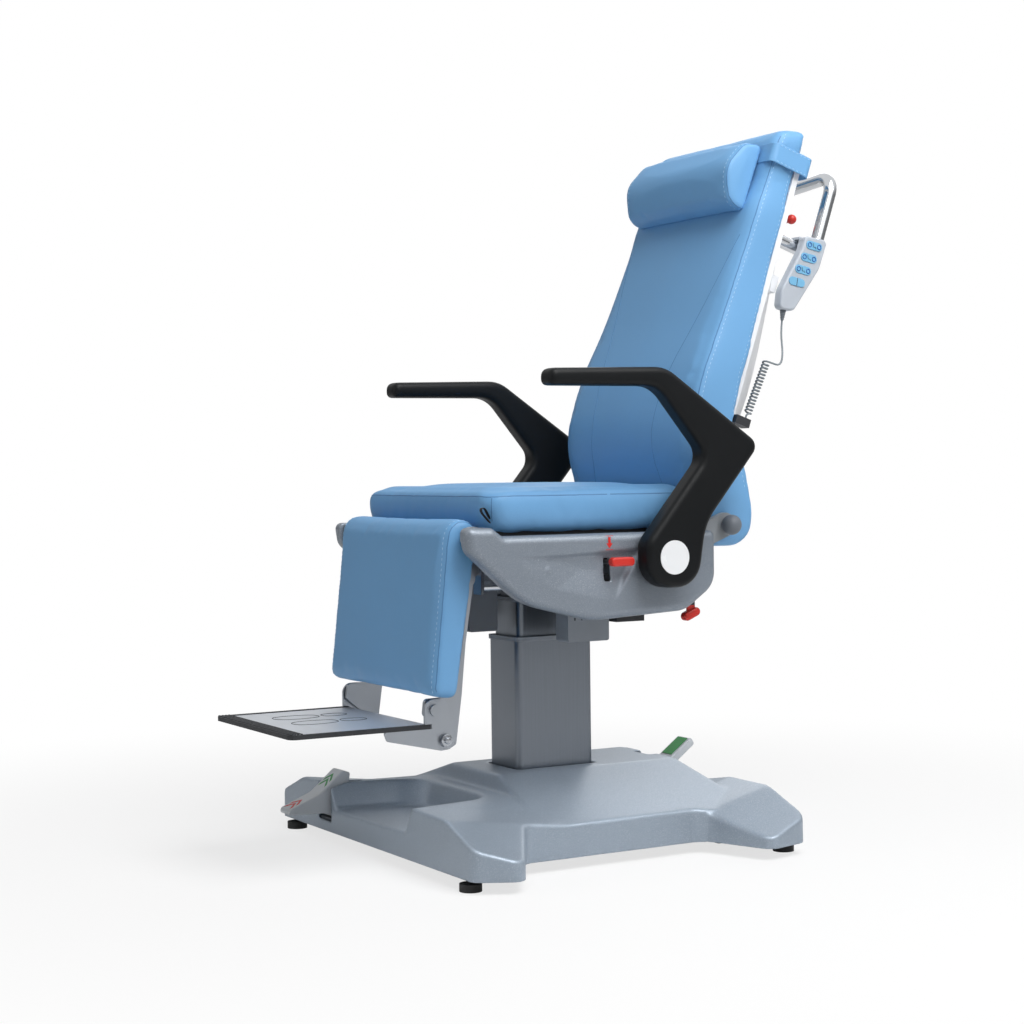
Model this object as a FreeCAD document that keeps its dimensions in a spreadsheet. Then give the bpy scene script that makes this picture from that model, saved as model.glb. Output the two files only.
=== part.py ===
import FreeCAD, Part
import math
import os

from FreeCAD import Placement, Rotation, Vector

doc = FreeCAD.newDocument("treatment_chair")
sizes = doc.addObject("Spreadsheet::Sheet", "sizes")

# Driving sizes in millimetres and degrees; the chair faces -Y and the patient's left is +X.
DRIVING = (
    # base cover: outline on the floor, heights, wall
    ("cover_bottom", 20), ("cover_wall", 4), ("cover_front", 360), ("cover_rear", 312),
    ("cover_waist", 290), ("leg_reach", 428), ("leg_face", 388), ("leg_top", 112),
    ("leg_fall_rear", 0.25), ("deck_edge", 78), ("hump_top", 142),
    ("hump_half_width", 91), ("hump_front", 143), ("hump_rear", 240), ("well_half_width", 178),
    ("well_floor", 66), ("well_depth", 180), ("cover_clearance", 1.5),
    # steel base frame and feet
    ("rail_bottom", 24), ("rail_height", 20), ("rail_width", 28), ("foot_x", 352), ("foot_front", 345),
    ("foot_rear", 295), ("pad_diameter", 38), ("pad_height", 13), ("stud_diameter", 10),
    ("spine_x", 135), ("foot_plate_thickness", 8),
    # lifting column
    ("column_width", 110), ("column_depth", 162), ("column_top", 375), ("stage_step", 16),
    ("tube_wall", 3), ("tube_corner", 12), ("collar_height", 8), ("collar_lip", 3),
    ("slide_gap", 0.2), ("middle_bottom", 150), ("middle_top", 447), ("inner_bottom", 220),
    ("inner_top", 486), ("spindle_radius", 9), ("flange_radius", 86), ("flange_thickness", 8),
    # castor gear
    ("gear_shaft_radius", 6), ("bearing_clearance", 0.05), ("gear_shaft_height", 55),
    ("front_shaft_y", 340), ("rear_shaft_y", 168), ("roller_radius", 24), ("roller_width", 24),
    ("roller_x", 240), ("roller_trail", 60), ("roller_clear", 4), ("gear_arm", 8),
    ("front_pedal_x", 190), ("pedal_width", 44), ("pedal_clearance", 6),
    # seat
    ("bearing_height", 8), ("seat_plate", 8), ("seat_rail_height", 62), ("seat_rail_width", 30),
    ("seat_rail_x", 196), ("seat_rail_front", 215), ("seat_rail_rear", 180), ("board_thickness", 12),
    ("ear_thickness", 10), ("cushion_half_width", 250), ("cushion_front", 246), ("cushion_rear", 195),
    ("cushion_height", 76), ("cover_outer_x", 270), ("cover_rounding_side", 14), ("side_wall", 5),
    # pivots in side view
    ("back_pivot_y", 258), ("back_pivot_z", 585), ("leg_pivot_y", 268), ("leg_pivot_z", 574),
    ("arm_pivot_y", 88), ("arm_pivot_z", 533), ("hinge_pin_radius", 8), ("ear_radius", 22),
    ("hinge_ball_radius", 18.5), ("arm_pin_radius", 12), ("arm_inner_x", 276), ("arm_width", 44),
    ("arm_rounding", 11), ("hub_radius", 54), ("hub_disc_radius", 30),
    # actuators
    ("actuator_x", 140), ("actuator_body", 34), ("rod_radius", 9), ("rod_clearance", 0.1),
    ("back_crank", 108), ("back_swing", 66), ("leg_crank_y", 223), ("leg_crank_z", 514),
    ("crank_pin_radius", 5), ("yoke_clearance", 1.7), ("roller_pin_radius", 11),
    # back
    ("back_lean", 18.88), ("back_foot_y", 288.6), ("back_foot_z", 768), ("back_board", 12),
    ("back_length", 555), ("back_arm_x", 196), ("shell_wall", 3),
    ("handle_radius", 12.5), ("handle_half", 170), ("handle_edge", 30),
    ("back_board_half", "=handle_half + handle_edge"), ("handle_offset", 111), ("handle_foot", 381),
    ("handle_top", 548), ("handle_bend", 36), ("handle_bow", 17),
    # leg rest and foot rest
    ("pad_half_width", 213), ("leg_ear_x", 196), ("leg_ear", 8),
    ("leg_plate", 6), ("fold_pivot_y", 312), ("fold_pivot_z", 277), ("fold_pin_radius", 6),
    ("plate_half_width", 168), ("plate_nose", 582.2), ("plate_heel", 320), ("plate_top", 253),
    ("plate_thickness", 8), ("edge_width", 7), ("bracket_x", 163), ("bracket_thickness", 5),
    ("bar_x", 152), ("bar_thickness", 8),
    # hand control and its cord
    ("cord_diameter", 3.6), ("coil_diameter", 16), ("coil_pitch", 6.6),
)
for row, (alias, value) in enumerate(DRIVING, start=1):
    sizes.set("A%d" % row, alias)
    sizes.set("B%d" % row, str(value))
    sizes.setAlias("B%d" % row, alias)
doc.recompute()


def size(alias):
    return float(sizes.get(alias))


# Drawing helpers


def outline(corners):
    """Closed outline of straight sides; each corner is (u, v, rounding radius)."""
    count = len(corners)
    starts = []
    middles = []
    ends = []
    for index, (u, v, radius) in enumerate(corners):
        corner = Vector(u, v, 0)
        before = (Vector(corners[index - 1][0], corners[index - 1][1], 0) - corner).normalize()
        following = corners[(index + 1) % count]
        after = (Vector(following[0], following[1], 0) - corner).normalize()
        if radius == 0:
            starts.append(corner)
            middles.append(None)
            ends.append(corner)
            continue
        half = before.getAngle(after) / 2
        inward = (before + after).normalize()
        centre = corner + inward * (radius / math.sin(half))
        starts.append(corner + before * (radius / math.tan(half)))
        middles.append(centre - inward * radius)
        ends.append(corner + after * (radius / math.tan(half)))
    drawn = []
    for index in range(count):
        following = (index + 1) % count
        if middles[index] is not None:
            drawn.append(Part.Arc(starts[index], middles[index], ends[index]))
        if ends[index].distanceToPoint(starts[following]) > 0.001:
            drawn.append(Part.LineSegment(ends[index], starts[following]))
    return drawn



def box_outline(u0, u1, v0, v1, radius):
    return outline(((u0, v0, radius), (u1, v0, radius), (u1, v1, radius), (u0, v1, radius)))


def strip(path, half):
    """Outline of a flat bar of given half width with round ends along straight runs."""
    left = []
    right = []
    points = [Vector(u, v, 0) for u, v in path]
    for index, point in enumerate(points):
        runs = []
        if index > 0:
            runs.append((point - points[index - 1]).normalize())
        if index < len(points) - 1:
            runs.append((points[index + 1] - point).normalize())
        ahead = (runs[0] + runs[-1]).normalize()
        side = Vector(-ahead.y, ahead.x, 0)
        reach = half / ahead.dot(runs[0])
        left.append(point + side * reach)
        right.append(point - side * reach)
    tip = points[-1] + (points[-1] - points[-2]).normalize() * half
    tail = points[0] + (points[0] - points[1]).normalize() * half
    drawn = []
    for first, second in zip(left, left[1:]):
        drawn.append(Part.LineSegment(first, second))
    drawn.append(Part.Arc(left[-1], tip, right[-1]))
    for first, second in zip(right[::-1], right[-2::-1]):
        drawn.append(Part.LineSegment(first, second))
    drawn.append(Part.Arc(right[0], tail, left[0]))
    return drawn


def sketch_on(body, role, drawn, offset):
    """Sketch on one of the body's own planes, moved along its normal."""
    plane = [feature for feature in body.Origin.OriginFeatures if feature.Role == role][0]
    sketch = body.newObject("Sketcher::SketchObject", "Outline")
    sketch.AttachmentSupport = (plane, [""])
    sketch.MapMode = "FlatFace"
    sketch.setExpression("AttachmentOffset.Base.z", offset)
    sketch.addGeometry(drawn, False)
    return sketch


def padded(label, role, drawn, offset, length):
    """Body with one pad; offset and length are expressions on the sizes."""
    body = doc.addObject("PartDesign::Body", label)
    sketch = sketch_on(body, role, drawn, offset)
    pad = body.newObject("PartDesign::Pad", "Pad")
    pad.Profile = sketch
    pad.setExpression("Length", length)
    doc.recompute()
    return body



def rounded(body, radius, chosen):
    """Fillet on the edges of the body's last feature that the test picks."""
    tip = body.Tip
    names = ["Edge%d" % number for number, edge in enumerate(tip.Shape.Edges, start=1) if chosen(edge)]
    fillet = body.newObject("PartDesign::Fillet", "Rounding")
    fillet.Base = (tip, names)
    fillet.setExpression("Radius", radius)
    doc.recompute()
    return body


def section(drawn, placement):
    sketch = doc.addObject("Sketcher::SketchObject", "Section")
    sketch.addGeometry(drawn, False)
    sketch.Placement = placement
    return sketch


def extruded(sketch, direction, length):
    solid = doc.addObject("Part::Extrusion", "Extrusion")
    solid.Base = sketch
    solid.DirMode = "Custom"
    solid.Dir = direction
    solid.setExpression("LengthFwd", length)
    solid.Solid = True
    return solid


def lofted(sections, ruled=False):
    solid = doc.addObject("Part::Loft", "Loft")
    solid.Sections = sections
    solid.Solid = True
    solid.Ruled = ruled
    return solid


def block(x0, x1, y0, y1, z0, z1):
    """Part box between three pairs of expressions."""
    box = doc.addObject("Part::Box", "Block")
    for axis, low, high, side in (("x", x0, x1, "Length"), ("y", y0, y1, "Width"), ("z", z0, z1, "Height")):
        box.setExpression("Placement.Base." + axis, str(low))
        box.setExpression(side, "(%s) - (%s)" % (high, low))
    return box


def rod(start, axis, radius, length):
    """Part cylinder from a point (three expressions) along X, Y or Z."""
    cylinder = doc.addObject("Part::Cylinder", "Rod")
    turn = {"x": Rotation(Vector(0, 1, 0), 90), "y": Rotation(Vector(1, 0, 0), -90), "z": Rotation()}[axis]
    cylinder.Placement = Placement(Vector(), turn)
    for name, value in zip("xyz", start):
        cylinder.setExpression("Placement.Base." + name, str(value))
    cylinder.setExpression("Radius", str(radius))
    cylinder.setExpression("Height", str(length))
    return cylinder


def fused(parts):
    whole = doc.addObject("Part::MultiFuse", "Whole")
    whole.Shapes = parts
    whole.Refine = True
    return whole


def common(parts):
    shared = doc.addObject("Part::MultiCommon", "Shared")
    shared.Shapes = parts
    return shared


def cut(base, tools):
    rest = doc.addObject("Part::Cut", "Rest")
    rest.Base = base
    rest.Tool = tools[0] if len(tools) == 1 else fused(tools)
    return rest


def group(parts):
    several = doc.addObject("Part::Compound", "Group")
    several.Links = parts
    return several


def mirrored(source):
    """The same piece on the other side of the chair's middle plane."""
    twin = doc.addObject("Part::Mirroring", "Twin")
    twin.Source = source
    twin.Normal = Vector(1, 0, 0)
    return twin


UPRIGHT = Rotation(Vector(1, 0, 0), 90)
SIDEWAYS = Rotation(Vector(1, 1, 1), 120)
nodes = {}


def keep(label, piece):
    piece.Label = label
    nodes[label] = piece
    return piece


# Base cover: one moulding with a humped middle, four sloping legs and a well for the feet


def both_sides(half):
    """Closed list of corners from the right half, given from front to rear."""
    return list(half) + [(-u, v, radius) for u, v, radius in reversed(half)]


def cover_plan():
    return outline(both_sides((
        (size("leg_face"), -size("cover_front"), 24),
        (size("leg_reach"), -size("cover_front") + 76, 24),
        (size("cover_waist") + 6, -size("cover_front") + 152, 26),
        (size("cover_waist"), size("cover_rear") - 146, 40),
        (size("leg_reach") - 3, size("cover_rear") - 96, 24),
        (size("leg_face") + 10, size("cover_rear"), 24),
    )))


def leg_profile(droop, dip, blend, thinner):
    """Front view of two legs, drooping at the sides, dipping in the middle, lowered by the wall inside."""
    top = size("leg_top") - thinner
    return outline(both_sides((
        (size("leg_reach") + 20, 0, 0),
        (size("leg_reach") + 20, top - 58 - droop, 0),
        (size("leg_face"), top - 39 - droop, 60),
        (size("cover_waist"), top - 2 - droop, 60),
        (size("well_half_width"), top, blend),
        (40, top - dip, 0),
    )))


def cover_form(thinner):
    """Outer form of the cover, or the hollow inside it when a wall is taken off."""
    plan = section(cover_plan(), Placement(Vector(0, 0, size("cover_bottom") - thinner), Rotation()))
    if thinner:
        inset = doc.addObject("Part::Offset2D", "Inset")
        inset.Source = plan
        inset.Value = -thinner
        plan = inset
    whole = extruded(plan, Vector(0, 0, 1), "sizes.hump_top")
    to_deck = size("leg_top") - 2 - size("deck_edge")
    front_views = []
    for droop, y in ((0, -size("cover_front") - 1), (to_deck, 30 - size("hump_front"))):
        front_views.append(section(leg_profile(droop, 0, 400, thinner), Placement(Vector(0, y, 0), UPRIGHT)))
    front_legs = lofted(front_views, True)
    rear = section(leg_profile(0, 24, 60, thinner), Placement(Vector(0, size("cover_rear") + 1, 0), UPRIGHT))
    rear_legs = extruded(rear, Vector(0, -1, -size("leg_fall_rear")), "150")
    low = size("deck_edge") - thinner
    beside = size("cover_waist") + 8
    foot = box_outline(-beside, beside, -size("cover_front") + 150, size("cover_rear") - 60, 0)
    waist = extruded(section(foot, Placement()), Vector(0, 0, 1), "sizes.deck_edge - %g" % thinner)
    spread = size("cover_waist") + 4 - thinner
    lower = box_outline(-spread, spread, -size("hump_front") - 24 + thinner,
                        size("hump_rear") + 32 - thinner, 0)
    half = size("hump_half_width") - thinner / 2
    upper = box_outline(-half, half, -size("hump_front") + thinner, size("hump_rear") - thinner, 0)
    hump = lofted([section(lower, Placement(Vector(0, 0, low), Rotation())),
                   section(upper, Placement(Vector(0, 0, size("hump_top") - thinner), Rotation()))], True)
    return common([whole, fused([front_legs, rear_legs, waist, hump])])


def foot_well(wider):
    """Space for the feet, open to the front, its floor inside the cover's front edge."""
    floor = size("well_floor") - wider
    sections = []
    for height, side, depth in ((floor, -34, 22), (size("leg_top") + 30, 8, -6)):
        half = size("well_half_width") + side + wider
        rear = -size("well_depth") - depth + wider
        drawn = outline(((-half, -size("cover_front") - 20, 0), (half, -size("cover_front") - 20, 0),
                         (half - 30, rear, 60), (-half + 30, rear, 60)))
        sections.append(section(drawn, Placement(Vector(0, 0, height), Rotation())))
    return lofted(sections, True)


wall = size("cover_wall")
hollow = cut(cover_form(wall), [foot_well(wall)])
outer = cut(cover_form(0), [foot_well(0)])
pedal_side = "sizes.pedal_width / 2 + sizes.pedal_clearance"
column_hole = block("-sizes.column_width / 2 - sizes.cover_clearance",
                    "sizes.column_width / 2 + sizes.cover_clearance",
                    "-sizes.column_depth / 2 - sizes.cover_clearance",
                    "sizes.column_depth / 2 + sizes.cover_clearance", "sizes.well_floor",
                    "sizes.hump_top + 9")
front_notch = block("-sizes.front_pedal_x - (%s)" % pedal_side, "-sizes.front_pedal_x + " + pedal_side,
                    "-sizes.cover_front - 5", "-sizes.cover_front + 92", "40", "sizes.hump_top")
rear_notch = block("-(%s)" % pedal_side, pedal_side, "sizes.hump_rear - 18", "sizes.cover_rear - 9",
                   "64", "sizes.hump_top + 9")
posts = []
for post_x in ("-sizes.spine_x", "sizes.spine_x"):
    for post_y in ("-sizes.hump_front - 8", "sizes.hump_rear - 26"):
        posts.append(rod((post_x, post_y, "sizes.rail_bottom + sizes.rail_height"), "z", "9",
                         "sizes.hump_top"))
seated = fused([cut(outer, [hollow]), common([outer, fused(posts)])])
keep("base_cover", cut(seated, [column_hole, front_notch, rear_notch]))

# Welded base frame: two cross rails under the legs, two spines, column foot plate and shaft bearings
rail_top = "sizes.rail_bottom + sizes.rail_height"
members = []
for middle in ("-sizes.foot_front + 5", "sizes.foot_rear - 3"):
    members.append(block("-sizes.foot_x - 14", "sizes.foot_x + 14", middle + " - sizes.rail_width / 2",
                         middle + " + sizes.rail_width / 2", "sizes.rail_bottom", rail_top))
for side in ("-1", "1"):
    members.append(block(side + " * sizes.spine_x - 15", side + " * sizes.spine_x + 15",
                         "-sizes.foot_front", "sizes.foot_rear", "sizes.rail_bottom", rail_top))
    for bearing_x, bearing_y in (("282", "-sizes.front_shaft_y"), ("sizes.spine_x", "sizes.rear_shaft_y")):
        members.append(block("%s * %s - 8" % (side, bearing_x), "%s * %s + 8" % (side, bearing_x),
                             bearing_y + " - 13", bearing_y + " + 13", rail_top,
                             "sizes.gear_shaft_height + 13"))
members.append(block("-150", "150", "-120", "120", rail_top, rail_top + " + sizes.foot_plate_thickness"))
holes = []
for bearing_y in ("-sizes.front_shaft_y", "sizes.rear_shaft_y"):
    holes.append(rod(("-320", bearing_y, "sizes.gear_shaft_height"), "x",
                     "sizes.gear_shaft_radius + sizes.bearing_clearance", "640"))
for side in ("-1", "1"):
    for stud_y in ("-sizes.foot_front", "sizes.foot_rear"):
        holes.append(rod((side + " * sizes.foot_x", stud_y, "sizes.rail_bottom - 1"), "z",
                         "sizes.stud_diameter / 2", "sizes.rail_height + 2"))
arm_start = "(sizes.roller_x + sizes.roller_width / 2 + 1)"
arm_end = "(sizes.roller_x + sizes.roller_width / 2 + 5 + sizes.gear_arm)"
for slot_start, slot_end in (("-" + arm_end, "-" + arm_start), (arm_start, arm_end)):
    holes.append(block(slot_start, slot_end, "-sizes.front_shaft_y - 7", "-sizes.foot_front + 20",
                       "sizes.rail_bottom + 3", rail_top + " + 1"))
keep("base_frame", cut(fused(members), holes))

# Levelling feet: a rubber-soled pad moulded on a threaded stud
feet = []
for side in ("-1", "1"):
    for stud_y in ("-sizes.foot_front", "sizes.foot_rear"):
        pad = rod((side + " * sizes.foot_x", stud_y, "0"), "z", "sizes.pad_diameter / 2", "sizes.pad_height")
        stud = rod((side + " * sizes.foot_x", stud_y, "2"), "z", "sizes.stud_diameter / 2",
                   "sizes.rail_bottom + 17")
        feet.append(fused([pad, stud]))
keep("levelling_feet", group(feet))

# Lifting column: three nested rounded-rectangular tubes, a guide collar on the top of each outer one


def tube(label, stage, bottom, top):
    """One tube of the column; each stage is narrower than the one before by the stage step."""
    width = size("column_width") - stage * size("stage_step")
    depth = size("column_depth") - stage * size("stage_step")
    corner = size("tube_corner") - 2 * stage
    thin = size("tube_wall")
    drawn = box_outline(-width / 2, width / 2, -depth / 2, depth / 2, corner)
    drawn += box_outline(-width / 2 + thin, width / 2 - thin, -depth / 2 + thin, depth / 2 - thin,
                         corner - thin)
    return padded(label, "XY_Plane", drawn, bottom, "(%s) - (%s)" % (top, bottom))


def collar(label, stage, bottom):
    """Plastic guide ring that sits on a tube's end and fits closely round the next tube."""
    lip = size("collar_lip")
    width = size("column_width") - stage * size("stage_step") + 2 * lip
    depth = size("column_depth") - stage * size("stage_step") + 2 * lip
    closer = size("stage_step") / 2 + lip - size("slide_gap")
    corner = size("tube_corner") - 2 * stage
    drawn = box_outline(-width / 2, width / 2, -depth / 2, depth / 2, corner + lip)
    drawn += box_outline(-width / 2 + closer, width / 2 - closer, -depth / 2 + closer, depth / 2 - closer,
                         corner - 2 + size("slide_gap"))
    return padded(label, "XY_Plane", drawn, bottom, "sizes.collar_height")


foot_level = rail_top + " + sizes.foot_plate_thickness"
keep("column_outer", tube("ColumnOuter", 0, foot_level, "sizes.column_top"))
keep("column_outer_collar", collar("OuterCollar", 0, "sizes.column_top"))
keep("column_middle", tube("ColumnMiddle", 1, "sizes.middle_bottom", "sizes.middle_top"))
keep("column_middle_collar", collar("MiddleCollar", 1, "sizes.middle_top"))
inner_tube = tube("ColumnInner", 2, "sizes.inner_bottom", "sizes.inner_top")
head = rod(("0", "0", "sizes.inner_top"), "z", "sizes.flange_radius", "sizes.flange_thickness")
keep("column_inner", fused([inner_tube, head]))

# Lift drive inside the column: gear motor on the foot plate, screw, nut in the inner tube
motor_top = foot_level + " + 50"
keep("lift_motor", block("-32", "32", "-50", "50", foot_level, motor_top))
keep("lift_screw", rod(("0", "0", motor_top), "z", "sizes.spindle_radius", "270"))
nut_half_x = "sizes.column_width / 2 - sizes.stage_step - sizes.tube_wall"
nut_half_y = "sizes.column_depth / 2 - sizes.stage_step - sizes.tube_wall"
nut = block("-(%s) + 8" % nut_half_x, nut_half_x + " - 8", "-(%s)" % nut_half_y, nut_half_y,
            "sizes.inner_bottom + 4", "sizes.inner_bottom + 26")
nut_bore = rod(("0", "0", "sizes.inner_bottom"), "z", "sizes.spindle_radius + sizes.bearing_clearance", "40")
keep("lift_nut", cut(nut, [nut_bore]))

# Castor gear: a foot pedal on a cross shaft with two arms that press a pair of rollers to the floor


def castor_gear(name, shaft_y):
    """Shaft with its two roller arms and stub axles, and the pair of rollers."""
    shaft = rod(("-292", shaft_y, "sizes.gear_shaft_height"), "x", "sizes.gear_shaft_radius", "584")
    axle_y = size("roller_trail") + (size("rear_shaft_y") if name == "rear" else -size("front_shaft_y"))
    axle_z = size("roller_radius") + size("roller_clear")
    hub = (axle_y - size("roller_trail"), size("gear_shaft_height"))
    pieces = [shaft]
    rollers = []
    side_x = "sizes.roller_x + sizes.roller_width / 2 + 3"
    for sign in ("-1", "1"):
        near = side_x if sign == "1" else "-(%s) - sizes.gear_arm" % side_x
        pieces.append(padded("RollerArm", "YZ_Plane", strip((hub, (axle_y, axle_z)), 10), near,
                             "sizes.gear_arm"))
        start = "sizes.roller_x - 13" if sign == "1" else "-sizes.roller_x - sizes.roller_width / 2 - 4"
        pieces.append(rod((start, axle_y, axle_z), "x", "5", "sizes.roller_width / 2 + 17"))
        wheel = rod((sign + " * sizes.roller_x - sizes.roller_width / 2", axle_y, axle_z), "x",
                    "sizes.roller_radius", "sizes.roller_width")
        bore = rod((sign + " * sizes.roller_x - 40", axle_y, axle_z), "x", "5 + sizes.bearing_clearance",
                   "80")
        rollers.append(cut(wheel, [bore]))
    keep(name + "_roller_shaft", fused(pieces))
    keep(name + "_rollers", group(rollers))


castor_gear("front", "-sizes.front_shaft_y")
castor_gear("rear", "sizes.rear_shaft_y")


def pedal(label, drawn, middle_x, shaft_y):
    """Moulded pedal clamped on the shaft, its tread edges rounded."""
    body = padded("Pedal", "YZ_Plane", drawn, middle_x + " - sizes.pedal_width / 2", "sizes.pedal_width")
    rounded(body, "3", lambda edge: abs(edge.tangentAt(edge.FirstParameter).x) < 0.1)
    bore = rod(("-400", shaft_y, "sizes.gear_shaft_height"), "x", "sizes.gear_shaft_radius", "800")
    keep(label, cut(body, [bore]))


axis = -size("front_shaft_y")
pedal("front_pedal",
      outline(((axis - 104, 58, 5), (axis - 98, 69, 5), (axis - 40, 92, 40), (axis + 8, 133, 7),
                              (axis + 24, 128, 5), (axis + 15, 60, 15), (axis + 9, 47, 7), (axis - 9, 47, 7),
                              (axis - 30, 56, 30))), "-sizes.front_pedal_x", "-sizes.front_shaft_y")
axis = size("rear_shaft_y")
pedal("rear_pedal",
      outline(((axis - 12, 44, 10), (axis + 8, 42, 8), (axis + 86, 68, 30), (axis + 112, 112, 30),
                             (axis + 166, 152, 5), (axis + 158, 166, 5), (axis + 100, 124, 30),
                             (axis + 76, 84, 30), (axis - 10, 66, 10))), "0", "sizes.rear_shaft_y")


# Seat: turntable bearing, welded frame with hinge ears, board, cushion
bearing_z = size("inner_top") + size("flange_thickness")
ring = rod(("0", "0", bearing_z), "z", "sizes.flange_radius", "sizes.bearing_height")
ring_bore = rod(("0", "0", bearing_z - 1), "z", "sizes.flange_radius - 34", "sizes.bearing_height + 2")
keep("swivel_bearing", cut(ring, [ring_bore]))

seat_level = bearing_z + size("bearing_height") + size("slide_gap")
plate_top = seat_level + size("seat_plate")
rails_top = plate_top + size("seat_rail_height")
rail_x0 = size("seat_rail_x")
rail_x1 = rail_x0 + size("seat_rail_width")
ear_x = rail_x1 + size("ear_thickness")
back_pivot = (size("back_pivot_y"), size("back_pivot_z"))
leg_pivot = (-size("leg_pivot_y"), size("leg_pivot_z"))
arm_pivot = (size("arm_pivot_y"), size("arm_pivot_z"))
ear = "sizes.ear_thickness + 2"
members = [block(-rail_x1 + 3, rail_x1 - 3, -170, 110, seat_level, plate_top + 3)]
for front in (-200, 120):
    members.append(block(-rail_x0 - 5, rail_x0 + 5, front, front + 30, plate_top, rails_top))
for sign in (-1, 1):
    near = min(sign * rail_x0, sign * rail_x1)
    members.append(block(near, near + size("seat_rail_width"), "-sizes.seat_rail_front",
                         "sizes.seat_rail_rear",
                         plate_top, rails_top))
    near = min(sign * (rail_x1 - 2), sign * ear_x)
    rear_ear = strip(((155, 545), back_pivot), size("ear_radius"))
    members.append(padded("RearEar", "YZ_Plane", rear_ear, str(near), ear))
    front_ear = strip(((-190, 548), leg_pivot), size("ear_radius") - 2)
    members.append(padded("FrontEar", "YZ_Plane", front_ear, str(near), ear))
lever_x = rail_x1 - 4
members.append(block(lever_x - 6, lever_x, 162, 200, 452, plate_top + 4))
members.append(rod((lever_x - 1, 185, 468), "x", "sizes.crank_pin_radius", 9))
pin_holes = []
for pivot in (back_pivot, leg_pivot):
    pin_holes.append(rod((-ear_x - 1, pivot[0], pivot[1]), "x", "sizes.hinge_pin_radius", 2 * ear_x + 2))
keep("seat_frame", cut(fused(members), pin_holes))
keep("seat_board",
     block(-rail_x1 + 3, rail_x1 - 3, "-sizes.seat_rail_front", "sizes.cushion_rear - 5", rails_top,
                         "%s + sizes.board_thickness" % rails_top))


def cushion_section(half_width, front, rear, radius, height):
    drawn = box_outline(-half_width, half_width, front, rear, radius)
    return section(drawn, Placement(Vector(0, 0, height), Rotation()))


cushion_z = rails_top + size("board_thickness")
cushion_levels = ((0, 20, 34), (0.12, 7, 40), (0.45, 0, 42), (0.8, 2, 42), (0.9, 8, 46), (0.97, 34, 60),
                  (1, 90, 70))
levels = []
for part, inset, radius in cushion_levels:
    levels.append(cushion_section(size("cushion_half_width") - inset, -size("cushion_front") + inset,
                                  size("cushion_rear") - inset, radius,
                                  cushion_z + part * size("cushion_height")))
keep("seat_cushion", lofted(levels))

# Hinge pins: the back's with a ball cap outside the ear, the leg rest's plain; pivots of the armrests
pins = []
leg_pins = []
arm_pins = []
for sign in (-1, 1):
    length = size("ear_thickness") + size("seat_rail_width") + 20
    start = min(sign * (ear_x - length), sign * (ear_x + 4))
    shank = rod((start, back_pivot[0], back_pivot[1]), "x", "sizes.hinge_pin_radius", length + 4)
    ball = doc.addObject("Part::Sphere", "Ball")
    ball.setExpression("Radius", "sizes.hinge_ball_radius")
    ball.Placement = Placement(Vector(sign * (ear_x + size("hinge_ball_radius") + 0.4), *back_pivot),
                               Rotation(Vector(0, 0, 1), 90))
    pins.append(fused([shank, ball]))
    start = min(sign * (ear_x - length), sign * ear_x)
    leg_pins.append(rod((start, leg_pivot[0], leg_pivot[1]), "x", "sizes.hinge_pin_radius", length))
    start = min(sign * rail_x1, sign * (rail_x1 + 8))
    foot = rod((start, arm_pivot[0], arm_pivot[1]), "x", 26, 8)
    reach = size("arm_inner_x") + size("arm_width") - 12 - rail_x1
    start = min(sign * rail_x1, sign * (rail_x1 + reach))
    arm_pins.append(fused([foot,
                           rod((start, arm_pivot[0], arm_pivot[1]), "x", "sizes.arm_pin_radius", reach)]))
keep("back_hinge_pins", group(pins))
keep("leg_hinge_pins", group(leg_pins))
keep("arm_pivots", group(arm_pins))

# Side covers: pressed shells with a rounded outer edge and a scooped flank, screwed to the frame ears
lever_pivot = (-140, 515)
lever_arm = (-16, 527)


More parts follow.
